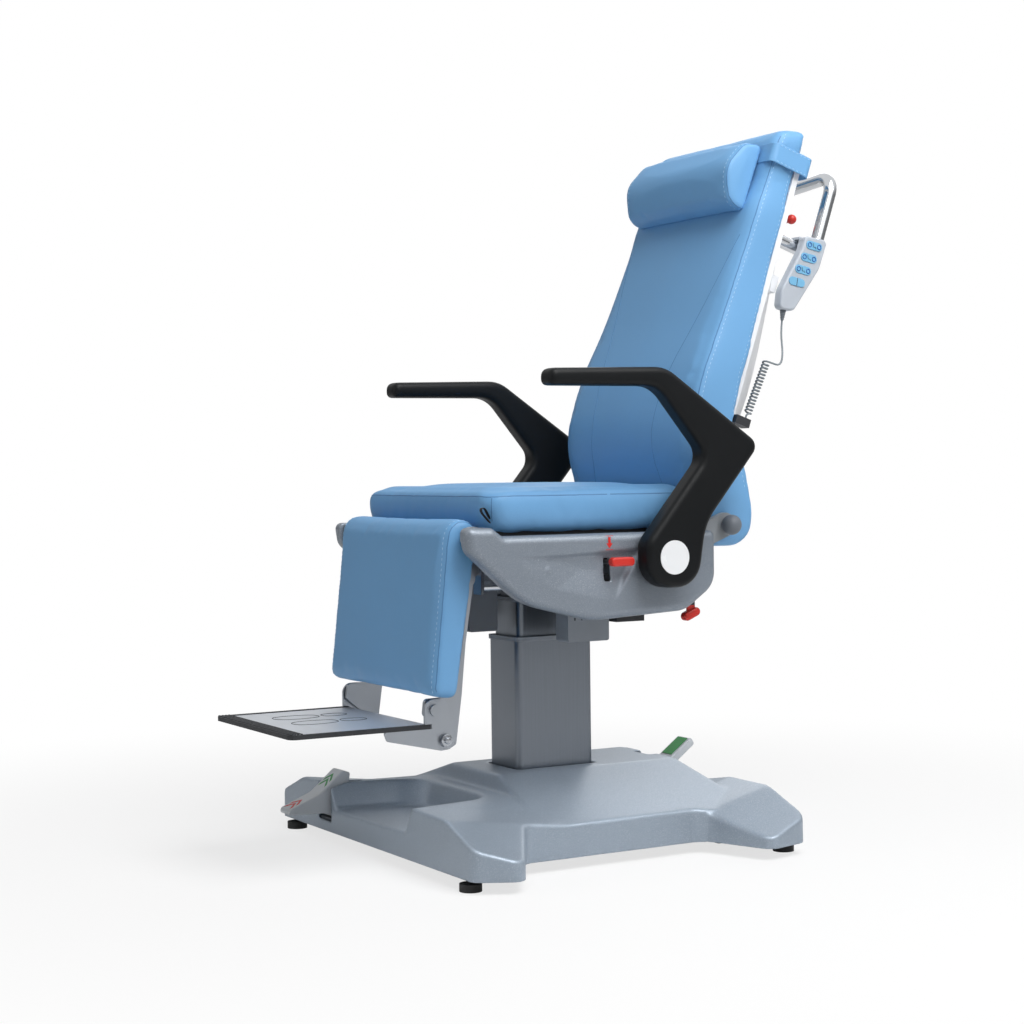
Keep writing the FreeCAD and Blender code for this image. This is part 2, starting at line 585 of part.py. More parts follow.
def side_cover(with_lever):
    """Left cover, with the slot and the pivot of the side lever or without them."""
    corners = ((-300, 593, 11), (-246, 592, 8), (-226, 577, 10), (214, 577, 10), (214, 478, 45),
               (150, 434, 60),
               (-50, 424, 120), (-190, 460, 160), (-294, 552, 26))
    face = outline(corners)
    inner_x = ear_x + 4
    depth = size("cover_outer_x") - inner_x
    body = padded("Cover", "YZ_Plane", face, str(inner_x), str(depth))
    rounded(body, "sizes.cover_rounding_side", lambda edge: edge.BoundBox.XMin > size("cover_outer_x") - 0.1)
    rim = section(face, Placement(Vector(inner_x - 1, 0, 0), SIDEWAYS))
    inset = doc.addObject("Part::Offset2D", "Inset")
    inset.Source = rim
    inset.Value = -9
    cavity = extruded(inset, Vector(1, 0, 0), "%g - sizes.side_wall" % (depth + 1))
    outer_x = size("cover_outer_x")
    hollow_wall = 4
    hollow_levels = ((0.5, ((-215, 540), (58, 549), (-5, 455), (-130, 480))),
                     (-9, ((-110, 534), (42, 543), (18, 506), (-70, 516))))
    scoop_sections = []
    lining_sections = []
    for lift, corners in hollow_levels:
        drawn = outline([(y, z, 0) for y, z in corners])
        scoop_sections.append(section(drawn, Placement(Vector(outer_x + lift, 0, 0), SIDEWAYS)))
        middle_y = sum(y for y, z in corners) / len(corners)
        middle_z = sum(z for y, z in corners) / len(corners)
        wider = [(y + math.copysign(6, y - middle_y), z + math.copysign(6, z - middle_z), 0) for y,
                 z in corners]
        place = Placement(Vector(outer_x + lift - hollow_wall, 0, 0), SIDEWAYS)
        lining_sections.append(section(outline(wider), place))
    scoop = lofted(scoop_sections, True)
    lining = common([body, lofted(lining_sections, True)])
    axle_hole = rod((inner_x - 5, arm_pivot[0], arm_pivot[1]), "x", "sizes.arm_pin_radius + 2", depth + 10)
    shell = cut(fused([cut(body, [cavity]), lining]), [axle_hole, scoop])
    added = [shell]
    for boss_y, boss_z in ((-215, 556), (188, 558)):
        added.append(rod((ear_x, boss_y, boss_z), "x", 9, depth + 2))
    if with_lever:
        added.append(rod((inner_x + 2, lever_pivot[0], lever_pivot[1]), "x", "sizes.crank_pin_radius",
                         depth - 4))
    whole = fused(added)
    if with_lever:
        slot = block(inner_x, inner_x + depth + 5, lever_arm[0] - 7, lever_arm[0] + 6, lever_arm[1] - 34,
                     lever_arm[1] + 6)
        whole = cut(whole, [slot])
    return whole


keep("side_cover_left", side_cover(True))
keep("side_cover_right", mirrored(side_cover(False)))

# Side lever: a blade pivoted inside the left cover, its stub and grip standing out through the slot
blade_x = ear_x + 8
blade = padded("Blade", "YZ_Plane", strip((lever_pivot, lever_arm), 9), str(blade_x), "6")
stub = rod((blade_x, lever_arm[0], lever_arm[1]), "x", 4, size("cover_outer_x") - blade_x + 8)
grip = padded("Grip", "YZ_Plane", box_outline(lever_arm[0] - 6, lever_arm[0] + 42, 519, 535, 7),
              "sizes.cover_outer_x + 4", "15")
rounded(grip, "4", lambda edge: abs(edge.tangentAt(edge.FirstParameter).x) < 0.1)
lever_bore = rod((blade_x - 5, lever_pivot[0], lever_pivot[1]), "x",
                 "sizes.crank_pin_radius + sizes.bearing_clearance", 20)
keep("side_lever", cut(fused([blade, stub, grip]), [lever_bore]))

# Rear lever: hangs from a pin behind the left seat rail and ends in a flat grip under the cover
hanger = padded("Hanger", "YZ_Plane", strip(((185, 468), (186, 428)), 8), str(lever_x + 1), "5")
paddle = padded("Paddle", "YZ_Plane", strip(((195, 428), (176, 420)), 8), str(lever_x - 5), "17")
rounded(paddle, "4", lambda edge: abs(edge.tangentAt(edge.FirstParameter).x) < 0.1)
hanger_bore = rod((lever_x - 5, 185, 468), "x", "sizes.crank_pin_radius + sizes.bearing_clearance", 20)
keep("rear_lever", cut(fused([hanger, paddle]), [hanger_bore]))

# Armrests: soft mouldings round a hub, each with a plain disc over its pivot


def armrest(label, sign):
    hub = size("hub_radius")
    face = outline(((-160, 833, 9), (-160, 863, 13), (78, 868, 70), (280, 731, 20), (160, 590, 110),
                    (arm_pivot[0] + hub, arm_pivot[1] - hub, hub - 4),
                    (arm_pivot[0] - hub, arm_pivot[1] - hub, hub - 4),
                    (arm_pivot[0] - hub, arm_pivot[1] + 28, 30), (162, 712, 30), (60, 834, 60)))
    near = size("arm_inner_x") if sign > 0 else -size("arm_inner_x") - size("arm_width")
    body = padded("Arm", "YZ_Plane", face, str(near), "sizes.arm_width")
    rounded(body, "sizes.arm_rounding", lambda edge: abs(edge.tangentAt(edge.FirstParameter).x) < 0.1)
    depth = size("arm_width") - 10
    start = near - 1 if sign > 0 else near + 11
    bore = rod((start, arm_pivot[0], arm_pivot[1]), "x", "sizes.arm_pin_radius + sizes.bearing_clearance",
               depth)
    outer_x = near + size("arm_width") - 2 if sign > 0 else near - 1
    recess = rod((outer_x, arm_pivot[0], arm_pivot[1]), "x", "sizes.hub_disc_radius + 0.3", 3)
    keep("armrest_" + label, cut(body, [bore, recess]))
    disc_x = near + size("arm_width") - 2 if sign > 0 else near - 1
    keep("arm_disc_" + label, rod((disc_x, arm_pivot[0], arm_pivot[1]), "x", "sizes.hub_disc_radius", 3))


armrest("left", 1)
armrest("right", -1)

# Linear actuators under the seat: square housings with a sliding rod, one for the back, one for the leg rest
half_body = size("actuator_body") / 2
rod_z = seat_level - half_body
swing = math.radians(size("back_swing") / 2)
crank_pin = (back_pivot[0] + size("back_crank") * math.sin(swing),
             back_pivot[1] - size("back_crank") * math.cos(swing))


def actuator(label, middle_x, front, rear, motor_front, bore_front, bore_rear):
    housing = block(middle_x - half_body, middle_x + half_body, front, rear, seat_level - 2 * half_body,
                    seat_level)
    motor = block(middle_x - half_body, middle_x + half_body, motor_front, motor_front + 60, seat_level - 92,
                  seat_level - half_body)
    bore = rod((middle_x, bore_front, rod_z), "y", "sizes.rod_radius + sizes.rod_clearance",
               bore_rear - bore_front)
    keep(label, cut(fused([housing, motor]), [bore]))


actuator("back_actuator", -size("actuator_x"), -128, 150, -128, -118, 151)
actuator("leg_actuator", size("actuator_x"), -120, 130, 70, -121, 110)
middle_x = -size("actuator_x")
low = crank_pin[1] - size("back_crank") * (1 - math.cos(swing)) - size("crank_pin_radius") - 2
high = crank_pin[1] + size("crank_pin_radius") + 2
slot_half = size("crank_pin_radius") + size("yoke_clearance")
yoke = block(middle_x - 6, middle_x + 6, crank_pin[0] - 15, crank_pin[0] + 15, low - 8, high + 8)
slot = block(middle_x - 7, middle_x + 7, crank_pin[0] - slot_half, crank_pin[0] + slot_half, low, high)
pull = rod((middle_x, 10, rod_z), "y", "sizes.rod_radius", crank_pin[0] - 15 - 10 + 3)
keep("back_actuator_rod", cut(fused([pull, yoke]), [slot]))
push_face = -size("leg_crank_y") + size("roller_pin_radius") + 2.5
push_x = size("actuator_x")
pusher = block(push_x - 14, push_x + 14, push_face, push_face + 6, rod_z - 14, 535)
push = rod((push_x, push_face + 3, rod_z), "y", "sizes.rod_radius", 60 - push_face)
keep("leg_actuator_rod", fused([pusher, push]))

# Control box and power box hung under the seat beside and in front of the column
box_body = padded("ControlBox", "YZ_Plane", box_outline(-32, 55, 378, seat_level - 2 * half_body, 5),
                  "112", "42")
keep("control_box", box_body)
keep("power_box", padded("PowerBox", "YZ_Plane", box_outline(-165, -106, 395, seat_level, 5), "-27", "54"))


# Back: board, hollow rear shell, steel arms on a hinge tube, cushion, push handle
on_back = Placement(Vector(0, size("back_foot_y"), size("back_foot_z")),
                    Rotation(Vector(1, 0, 0), -size("back_lean")))


def at_back(x, depth, height):
    """Point given by its depth behind the back's rear plane and its height along it."""
    return on_back.multVec(Vector(x, depth, height))


def side_point(depth, height):
    point = at_back(0, depth, height)
    return (point.y, point.z)



def feature(label, shape):
    piece = doc.addObject("Part::Feature", label)
    piece.Shape = shape
    return piece


def back_block(x0, x1, y0, y1, z0, z1):
    box = doc.addObject("Part::Box", "Block")
    box.setExpression("Length", "%s - (%s)" % (x1, x0))
    box.setExpression("Width", "%s - (%s)" % (y1, y0))
    box.setExpression("Height", "%s - (%s)" % (z1, z0))
    box.Placement = Placement(at_back(x0, y0, z0), on_back.Rotation)
    return box


def back_rod(x, start, end, height, radius):
    """Cylinder standing square to the back."""
    cylinder = doc.addObject("Part::Cylinder", "Rod")
    cylinder.setExpression("Radius", str(radius))
    cylinder.setExpression("Height", "%s - (%s)" % (end, start))
    cylinder.Placement = Placement(at_back(x, start, height),
                                   on_back.Rotation.multiply(Rotation(Vector(1, 0, 0), -90)))
    return cylinder


board_half = size("back_board_half")
board = size("back_board")
keep("back_board", back_block(-board_half, board_half, 0, board, 3, size("back_length")))

arm_x = 140
arm_path = (back_pivot, side_point(board + 12, 20), side_point(board + 12, 190))
frame_parts = [rod((-size("back_arm_x"), back_pivot[0], back_pivot[1]), "x", 14, 2 * size("back_arm_x"))]
slots = [rod((-size("back_arm_x") - 3, back_pivot[0], back_pivot[1]), "x", 17, 2 * size("back_arm_x") + 6)]
slots.append(rod((-ear_x, back_pivot[0], back_pivot[1]), "x", "sizes.hinge_pin_radius + 2", 2 * ear_x))
for near in (-arm_x - 10, arm_x):
    frame_parts.append(padded("BackArm", "YZ_Plane", strip(arm_path, 12), str(near), "10"))
    slots.append(padded("ArmSlot", "YZ_Plane", strip(arm_path, 15), str(near - 3), "16"))
crank_x = -size("actuator_x") - 22
frame_parts.append(padded("Crank", "YZ_Plane", strip((back_pivot, crank_pin), 12), str(crank_x), "12"))
slots.append(padded("CrankSlot", "YZ_Plane", strip((back_pivot, crank_pin), 15), str(crank_x - 3), "18"))
frame_parts.append(rod((crank_x + 11, crank_pin[0], crank_pin[1]), "x", "sizes.crank_pin_radius", 22))
hinge_bore = rod((-ear_x, back_pivot[0], back_pivot[1]), "x",
                 "sizes.hinge_pin_radius + sizes.bearing_clearance", 2 * ear_x)
keep("back_frame", cut(fused(frame_parts), [hinge_bore]))

# Back cushion: level sections from the rolled foot to the top, crowned in front, flat where the board sits
CUSHION_BACK = (
    (543, 250, 300, 204, 1), (556, 236, 322, 216, 2), (590, 222, 335, 222, 3), (652, 209, 326, 225, 4),
    (698, 198, 316, 225, 5), (740, 193, 307, 224, 6), (789, 199, 304, 222, 6), (868, 224, 322, 220, 6),
    (942, 259, 355, 215, 6), (1017, 293, 380, 211, 6), (1092, 325, 406, 210, 4), (1180, 359, 436, 210, 1),
    (1300, 406, 476, 210, 1), (1318, 417, 478, 206, 1), (1326, 434, 472, 194, 1),
)
levels = []
for height, front, rear, half, crown in CUSHION_BACK:
    corner = min(18, (rear - front) / 3)
    drawn = outline(((-half, front, corner), (0, front - crown, half * half / (8 * crown)),
                     (half, front, corner),
                     (half, rear, 10), (-half, rear, 10)))
    levels.append(section(drawn, Placement(Vector(0, 0, height), Rotation())))
behind = back_block(-300, 300, 0, 300, 0, 900)
keep("back_cushion", cut(lofted(levels), [behind] + slots))

# Rear shell: thin moulding deepest low down, open where the arms and the handle pass


def shell_sections(thinner):
    """Level sections of the shell's outside, or of the room inside it when a wall is taken off."""
    drawn = []
    low = board - 4 if thinner else board
    half = board_half - thinner
    slope = 34
    for height, depth in ((3 + thinner, 42), (140, 50), (300, 38), (470, 27),
                          (size("back_length") - 8 - thinner, 20)):
        place = Placement(at_back(0, 0, height), on_back.Rotation)
        flare = slope * (low - board) / depth
        drawn.append(section(outline(((-half + flare, low, 0), (half - flare, low, 0),
                                      (half - slope, depth - thinner, 5),
                                      (-half + slope, depth - thinner, 5))), place))
    return drawn


shell = lofted(shell_sections(0))
cavity = lofted(shell_sections(size("shell_wall")))
shell_holes = [cavity, back_block(-arm_x - 14, -arm_x + 4, board, board + 28, 0, 20),
               back_block(arm_x - 4, arm_x + 14, board, board + 28, 0, 20)]
for sign in (-1, 1):
    shell_holes.append(back_rod(sign * size("handle_half"), board - 1, 80, size("handle_foot"),
                                size("handle_radius") + 0.4))
lever_at = (100, 440)
shell_holes.append(back_rod(lever_at[0], board - 1, 80, lever_at[1], 4.3))
buffer = back_block(150, 176, 30, 44, 280, 312)
shell_holes.append(back_block(-300, 300, -50, board, -20, 700))
keep("back_shell", cut(fused([shell, buffer]), shell_holes))


def rounded_path(points, radii):
    """Wire of straight runs joined by tangent arcs."""
    edges = []
    start = points[0]
    for index in range(1, len(points) - 1):
        corner = points[index]
        before = (points[index - 1] - corner).normalize()
        after = (points[index + 1] - corner).normalize()
        half = before.getAngle(after) / 2
        reach = radii[index - 1] / math.tan(half)
        inward = (before + after).normalize()
        middle = corner + inward * (radii[index - 1] / math.sin(half) - radii[index - 1])
        first = corner + before * reach
        last = corner + after * reach
        edges.append(Part.LineSegment(start, first).toShape())
        edges.append(Part.Arc(first, middle, last).toShape())
        start = last
    edges.append(Part.LineSegment(start, points[-1]).toShape())
    return edges


def swept(label, edges, radius):
    """Round bar or tube along a wire."""
    first = edges[0]
    begin = first.valueAt(first.FirstParameter)
    heading = first.tangentAt(first.FirstParameter)
    ring = Part.Wire(Part.makeCircle(radius, begin, heading))
    return feature(label, Part.Wire(edges).makePipeShell([ring], True, False))


# Push handle: one bent tube standing off the back on two feet, its bar sagging a little in the middle
half = size("handle_half")
off = size("handle_offset")
low = size("handle_foot")
high = size("handle_top")
handle_points = [at_back(half, board, low), at_back(half, off, low), at_back(half, off, high),
                 at_back(0, off, high - size("handle_bow")), at_back(-half, off, high),
                 at_back(-half, off, low),
                 at_back(-half, board, low)]
bend = size("handle_bend")
handle_tube = swept("HandleTube", rounded_path(handle_points, (bend, bend, 600, bend, bend)),
                    size("handle_radius"))
flanges = [back_rod(sign * half, board, board + 4, low, 18) for sign in (-1, 1)]
keep("push_handle", fused([handle_tube] + flanges))

# Back release lever: a stem turning in the shell, a short arm and a ball
stem = back_rod(lever_at[0], board, 72, lever_at[1], 4)
ball_at = at_back(122, 74, 448)
arm_edge = [Part.LineSegment(at_back(lever_at[0], 69, lever_at[1]), at_back(118, 73, 446)).toShape()]
ball = doc.addObject("Part::Sphere", "Ball")
ball.Radius = 9.5
ball.Placement = Placement(ball_at, Rotation())
keep("release_lever", fused([stem, swept("LeverArm", arm_edge, 3.5), ball]))

# Head pillow: a half-round roll on the front of the back, held by a strap round the top
strap_front = -64.2
strap_thickness = 2
strap_half = board_half + 11
band = (box_outline(-strap_half - strap_thickness, strap_half + strap_thickness,
                    strap_front - strap_thickness, 25.5 + strap_thickness, 10 + strap_thickness)
        + box_outline(-strap_half, strap_half, strap_front, 25.5, 10))
strap_sketch = section(band, Placement(at_back(0, 0, 500), on_back.Rotation))
keep("pillow_strap", extruded(strap_sketch, on_back.Rotation.multVec(Vector(0, 0, 1)), "38"))
levels = []
end_form = ((175, 8), (174, 4), (171, 1.5), (165, 0.5), (90, 0))
for x, inset in [(-x, inset) for x, inset in end_form] + list(reversed(end_form)):
    flat = strap_front - 2.3
    drawn = outline(((flat - 3.4, 398 + inset, 8), (flat, 538 - inset, 8),
                     (flat - 38 + inset / 2, 528 - inset, 26),
                     (flat - 66 + inset, 466, 50), (flat - 40 + inset / 2, 404 + inset, 26)))
    place = on_back.multiply(Placement(Vector(x, 0, 0), SIDEWAYS))
    levels.append(section(drawn, place))
keep("head_pillow", lofted(levels, True))

# Hand control: a waisted shell with rocker keys, hung by a moulded hook on the handle's left foot
hand_x = half + size("handle_radius") + 2.5
hand_depth = 22
foot_low, foot_high = (442, 982.6), (409, 987)
hand_face = outline(((473, 1126, 9), (525, 1119, 9), (504, 1064, 60), (*foot_low, 14), (*foot_high, 10),
                     (414, 1022, 40), (463, 1100, 40)))
hand_body = padded("HandControl", "YZ_Plane", hand_face, str(hand_x), str(hand_depth))
rounded(hand_body, "4", lambda edge: abs(edge.tangentAt(edge.FirstParameter).x) < 0.1)
hook = back_block(half - 9, hand_x + 3, 58, 73, low + size("handle_radius") + 0.3,
                  low + size("handle_radius") + 5)
key_rooms = []
key_half = 8
face_x = hand_x + hand_depth
for number, (key_y, key_z) in enumerate(((491, 1107), (478, 1084), (464, 1061), (449, 1038)), start=1):
    ends = ((key_y - 10.5, key_z + 2), (key_y + 10.5, key_z - 2))
    shape = strip(ends, key_half)
    wider = strip(ends, key_half + 0.3)
    key_rooms.append(padded("KeyRoom", "YZ_Plane", wider, str(face_x - 3), "4"))
    key = padded("Key", "YZ_Plane", shape, str(face_x - 2), "3.6")
    keep("hand_key_%d" % number, rounded(key, "0.8", lambda edge: edge.BoundBox.XMin > face_x + 1.5))
keep("hand_control", cut(fused([hand_body, hook]), key_rooms))

# Cord of the hand control: strain relief, free lead, coil, and the socket on the board's edge
hand_mid = hand_x + hand_depth / 2
edge_dir = (Vector(0, *foot_high) - Vector(0, *foot_low)).normalize()
out_dir = Vector(0, edge_dir.z, -edge_dir.y)
if out_dir.z > 0:
    out_dir = out_dir * -1
relief_y = 424.5
foot_slope = (foot_high[1] - foot_low[1]) / (foot_low[0] - foot_high[0])
relief_start = Vector(hand_mid, relief_y, foot_low[1] + (foot_low[0] - relief_y) * foot_slope)
relief = doc.addObject("Part::Cone", "Relief")
relief.Radius1 = 5.5
relief.setExpression("Radius2", "sizes.cord_diameter / 2 + 0.6")
relief.Height = 20
relief.Placement = Placement(relief_start, Rotation(Vector(0, 0, 1), out_dir))
keep("strain_relief", relief)

wire = size("cord_diameter") / 2
coil_radius = size("coil_diameter") / 2 - wire
coil_top = at_back(board_half + 10, 42.6, 139)
coil_end = at_back(board_half + 10, 32, 36)
along = (coil_end - coil_top).normalize()
first_side = Vector(1, 0, 0)
second_side = along.cross(first_side)
turns = round((coil_end - coil_top).Length / size("coil_pitch"))


def on_coil(turn):
    angle = 2 * math.pi * turn
    radial = first_side * math.cos(angle) + second_side * math.sin(angle)
    return coil_top + along * (turn * size("coil_pitch")) + radial * coil_radius


def coil_heading(turn):
    angle = 2 * math.pi * turn
    turning = second_side * math.cos(angle) - first_side * math.sin(angle)
    return (turning * (2 * math.pi * coil_radius) + along * size("coil_pitch")).normalize()


def biarc(start, heading, end, arriving):
    """Two arcs that leave the start and reach the end along the given headings."""
    chord = end - start
    sum_heading = heading + arriving
    square = 2 * (1 - heading.dot(arriving))
    forward = chord.dot(sum_heading)
    reach = (math.sqrt(forward ** 2 + square * chord.dot(chord)) - forward) / square
    first_control = start + heading * reach
    second_control = end - arriving * reach
    joint = (first_control + second_control) * 0.5
    arcs = []
    for begin, finish, control in ((start, joint, first_control), (joint, end, second_control)):
        middle = (begin + finish) * 0.5
        half_chord = (finish - begin).Length / 2
        lift = control - middle
        rise = half_chord * math.tan(math.atan2(lift.Length, half_chord) / 2)
        arcs.append(Part.Arc(begin, middle + lift.normalize() * rise, finish).toShape())
    return arcs


down = on_back.Rotation.multVec(Vector(0, 0, -1))
coil_edges = [Part.LineSegment(on_coil(0) - coil_heading(0) * 2 * wire, on_coil(0)).toShape()]
for quarter in range(2 * turns):
    begin = quarter / 2
    coil_edges += biarc(on_coil(begin), coil_heading(begin), on_coil(begin + 0.5), coil_heading(begin + 0.5))
exit_point = on_coil(turns) + down * 9 + coil_heading(turns) * 6
coil_edges += biarc(on_coil(turns), coil_heading(turns), exit_point, down)
coil_edges.append(Part.LineSegment(exit_point, exit_point + down * 2 * wire).toShape())
keep("cord_coil", swept("Coil", coil_edges, wire))
samples = [on_coil(step / 24) for step in range(24 * turns + 1)]
least = min((samples[first] - samples[second]).Length
            for first in range(len(samples)) for second in range(first + 12, len(samples)))
print("coil turns", turns, "least gap between turns", round(least - 2 * wire, 2))

lead_end = on_coil(0) - coil_heading(0) * 2 * wire
lead_start = relief_start + out_dir * 20
lead_points = [lead_start, lead_start + out_dir * 25, None, lead_end - coil_heading(0) * 26, lead_end]
lead_points[2] = lead_points[1] + (lead_points[3] - lead_points[1]) * 0.6 + Vector(2, 4, 0)
lead_radii = []
for index in (1, 2, 3):
    run_in = lead_points[index] - lead_points[index - 1]
    run_out = lead_points[index + 1] - lead_points[index]
    turn = run_in.getAngle(run_out)
    lead_radii.append(0.45 * min(run_in.Length, run_out.Length) / math.tan(turn / 2))
print("lead radii", [round(radius, 1) for radius in lead_radii])
keep("cord_lead", swept("Lead", rounded_path(lead_points, lead_radii), wire))

plug = on_back.inverse().multVec(exit_point + down * 2 * wire)
keep("cord_socket", back_block(board_half, plug.x + 8, 1, plug.y + 8, plug.z - 16, plug.z))

# Leg rest: padded board hung on ears inside the pad, foot bars and crank on its back
heel = (-290, 299)
crest = (-241, leg_pivot[1] + 31)
levels = []
side_form = ((1, 8), (0.985, 3.5), (0.95, 1), (0.88, 0), (0.6, -2), (0.25, -3.5))
for x, inset in [(-x, inset) for x, inset in side_form] + list(reversed(side_form)):
    drawn_in = max(inset, 0)
    round_top = 29 - 0.9 * drawn_in
    drawn = outline(((-335 + inset, 306 + drawn_in, 12), (-303 + inset, crest[1] - drawn_in, round_top),
                     (crest[0] - drawn_in, crest[1] - drawn_in, round_top),
                     (heel[0] - drawn_in, heel[1] + drawn_in, 10)))
    levels.append(section(drawn, Placement(Vector(x * size("pad_half_width"), 0, 0), SIDEWAYS)))
leg_form = lofted(levels, True)
slope = (crest[0] - heel[0]) / (crest[1] - heel[1])


def pad_rear(height):
    return heel[0] + (height - heel[1]) * slope


ear_path = (leg_pivot, (pad_rear(505) - 8, 505))
slots = []
frame_parts = []
thick = size("leg_plate")
plate_face = outline(((pad_rear(330), 330, 0), (pad_rear(330) + thick, 330, 0),
                      (pad_rear(548) + thick, 548, 0),
                      (pad_rear(548), 548, 0)))
leg_ear_end = size("leg_ear_x") + size("leg_ear")
frame_parts.append(padded("LegPlate", "YZ_Plane", plate_face, str(-leg_ear_end), str(2 * leg_ear_end)))
for sign in (-1, 1):
    near = min(sign * size("leg_ear_x"), sign * leg_ear_end)
    frame_parts.append(padded("LegEar", "YZ_Plane", strip(ear_path, 17), str(near), "sizes.leg_ear"))
    slots.append(padded("EarSlot", "YZ_Plane", strip(ear_path, 18), str(near - 1), "sizes.leg_ear + 2"))
    near = min(sign * size("bar_x"), sign * (size("bar_x") + size("bar_thickness")))
    fold = (-size("fold_pivot_y"), size("fold_pivot_z"))
    bar_face = outline(((-283, 297, 0), (pad_rear(430) + 2, 430, 0), (pad_rear(430) + 28, 430, 8),
                        (-254, 300, 30), (-266, 214, 5), (-280, 206, 5), (-284, 232, 8),
                        (fold[0] - 2, fold[1] - 21, 10),
                        (fold[0] - 17, fold[1] - 8, 8), (fold[0] - 14, 296, 8)))
    frame_parts.append(padded("FootBar", "YZ_Plane", bar_face, str(near), "sizes.bar_thickness"))
    pin_end = size("bracket_x") + size("bracket_thickness")
    start = min(sign * size("bar_x"), sign * (pin_end + 0.4))
    frame_parts.append(rod((start, fold[0], fold[1]), "x", "sizes.fold_pin_radius",
                           pin_end + 0.4 - size("bar_x")))
    start = min(sign * (pin_end + 0.3), sign * (pin_end + 5))
    frame_parts.append(rod((start, fold[0], fold[1]), "x", 10, 4.7))
crank = (-size("leg_crank_y"), size("leg_crank_z"))
for near in (size("actuator_x") - 14, size("actuator_x") + 8):
    frame_parts.append(padded("LegCrank", "YZ_Plane", strip(((pad_rear(505) + 11, 505), crank), 10),
                              str(near), "6"))
frame_parts.append(rod((size("actuator_x") - 9, crank[0], crank[1]), "x", "sizes.roller_pin_radius", 18))
leg_bore = rod((-ear_x, leg_pivot[0], leg_pivot[1]), "x",
               "sizes.hinge_pin_radius + sizes.bearing_clearance", 2 * ear_x)
pad_bore = rod((-ear_x, leg_pivot[0], leg_pivot[1]), "x", "sizes.hinge_pin_radius + 2", 2 * ear_x)
keep("leg_frame", cut(fused(frame_parts), [leg_bore]))
keep("leg_cushion", cut(leg_form, slots + [pad_bore]))

# Foot rest: sheet in a rubber edge, carried by two slotted brackets that fold up on the bars
half = size("plate_half_width")
nose = -size("plate_nose")
heel_y = -size("plate_heel")
edge = size("edge_width")
under = size("plate_top") - size("plate_thickness")
trim = outline(((-half, nose, 14), (half, nose, 14), (half, heel_y, 0), (half - edge, heel_y, 0),
                (half - edge, nose + 12, 4), (-half + edge, nose + 12, 4), (-half + edge, heel_y, 0),
                (-half, heel_y, 0)))
keep("foot_edge", padded("FootEdge", "XY_Plane", trim, str(under), "sizes.plate_thickness"))
sheet_face = outline(((-half + edge, nose + 12, 4), (half - edge, nose + 12, 4), (half - edge, heel_y, 0),
                      (-half + edge, heel_y, 0)))
keep("foot_plate", padded("FootSheet", "XY_Plane", sheet_face, str(under + 1), "sizes.plate_thickness - 2.5"))
fold = (-size("fold_pivot_y"), size("fold_pivot_z"))
brackets = []
for sign in (-1, 1):
    near = min(sign * size("bracket_x"), sign * (size("bracket_x") + size("bracket_thickness")))
    face = outline(((fold[0] - 19, fold[1] + 19, 18), (fold[0] - 19, size("plate_top") + 0.4, 0),
                    (heel_y + 2, size("plate_top") + 0.4, 0), (heel_y + 2, under, 0), (-409, under, 3),
                    (-403, 229, 6),
                    (-300, 206, 10), (-276, 208, 12), (-276, 236, 10), (fold[0] + 24, fold[1] + 19, 16)))
    body = padded("Bracket", "YZ_Plane", face, str(near), "sizes.bracket_thickness")
    near = min(sign * (pin_end - 1), sign * (pin_end + 6))
    stop = rod((near, -291, 220), "x", 9, 7)
    bore = rod((-200, fold[0], fold[1]), "x", "sizes.fold_pin_radius + sizes.bearing_clearance", 400)
    brackets.append(cut(fused([body, stop]), [bore]))
keep("foot_brackets", group(brackets))


# Check every object, then write one file for each piece
doc.recompute()
for entry in doc.Objects:
    if "Invalid" in entry.State or "Error" in entry.State:
        raise RuntimeError("%s %s" % (entry.Name, entry.State))
os.makedirs("parts", exist_ok=True)
for label, piece in nodes.items():
    shape = piece.Shape
    if shape.isNull() or not shape.isValid():
        raise RuntimeError(label + " has no valid shape")
    shape.exportStep("parts/%s.step" % label)
    print(label, len(shape.Solids), round(shape.Volume / 1000, 1))
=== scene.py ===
import math
import bpy
from mathutils import Matrix, Vector


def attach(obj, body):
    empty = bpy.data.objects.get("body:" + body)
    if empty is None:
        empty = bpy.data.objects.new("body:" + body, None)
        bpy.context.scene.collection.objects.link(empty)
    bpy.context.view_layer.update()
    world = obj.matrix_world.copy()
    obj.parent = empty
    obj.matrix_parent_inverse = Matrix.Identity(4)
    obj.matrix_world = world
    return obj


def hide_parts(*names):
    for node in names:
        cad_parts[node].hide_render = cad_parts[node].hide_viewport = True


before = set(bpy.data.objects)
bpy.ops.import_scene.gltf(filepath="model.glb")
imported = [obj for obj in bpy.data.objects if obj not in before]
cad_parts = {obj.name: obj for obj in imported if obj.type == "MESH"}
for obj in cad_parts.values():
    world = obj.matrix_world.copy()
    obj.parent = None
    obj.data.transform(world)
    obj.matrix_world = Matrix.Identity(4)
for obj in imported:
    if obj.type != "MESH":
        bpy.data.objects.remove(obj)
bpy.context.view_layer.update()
scene = bpy.context.scene
bpy.ops.object.select_all(action="DESELECT")


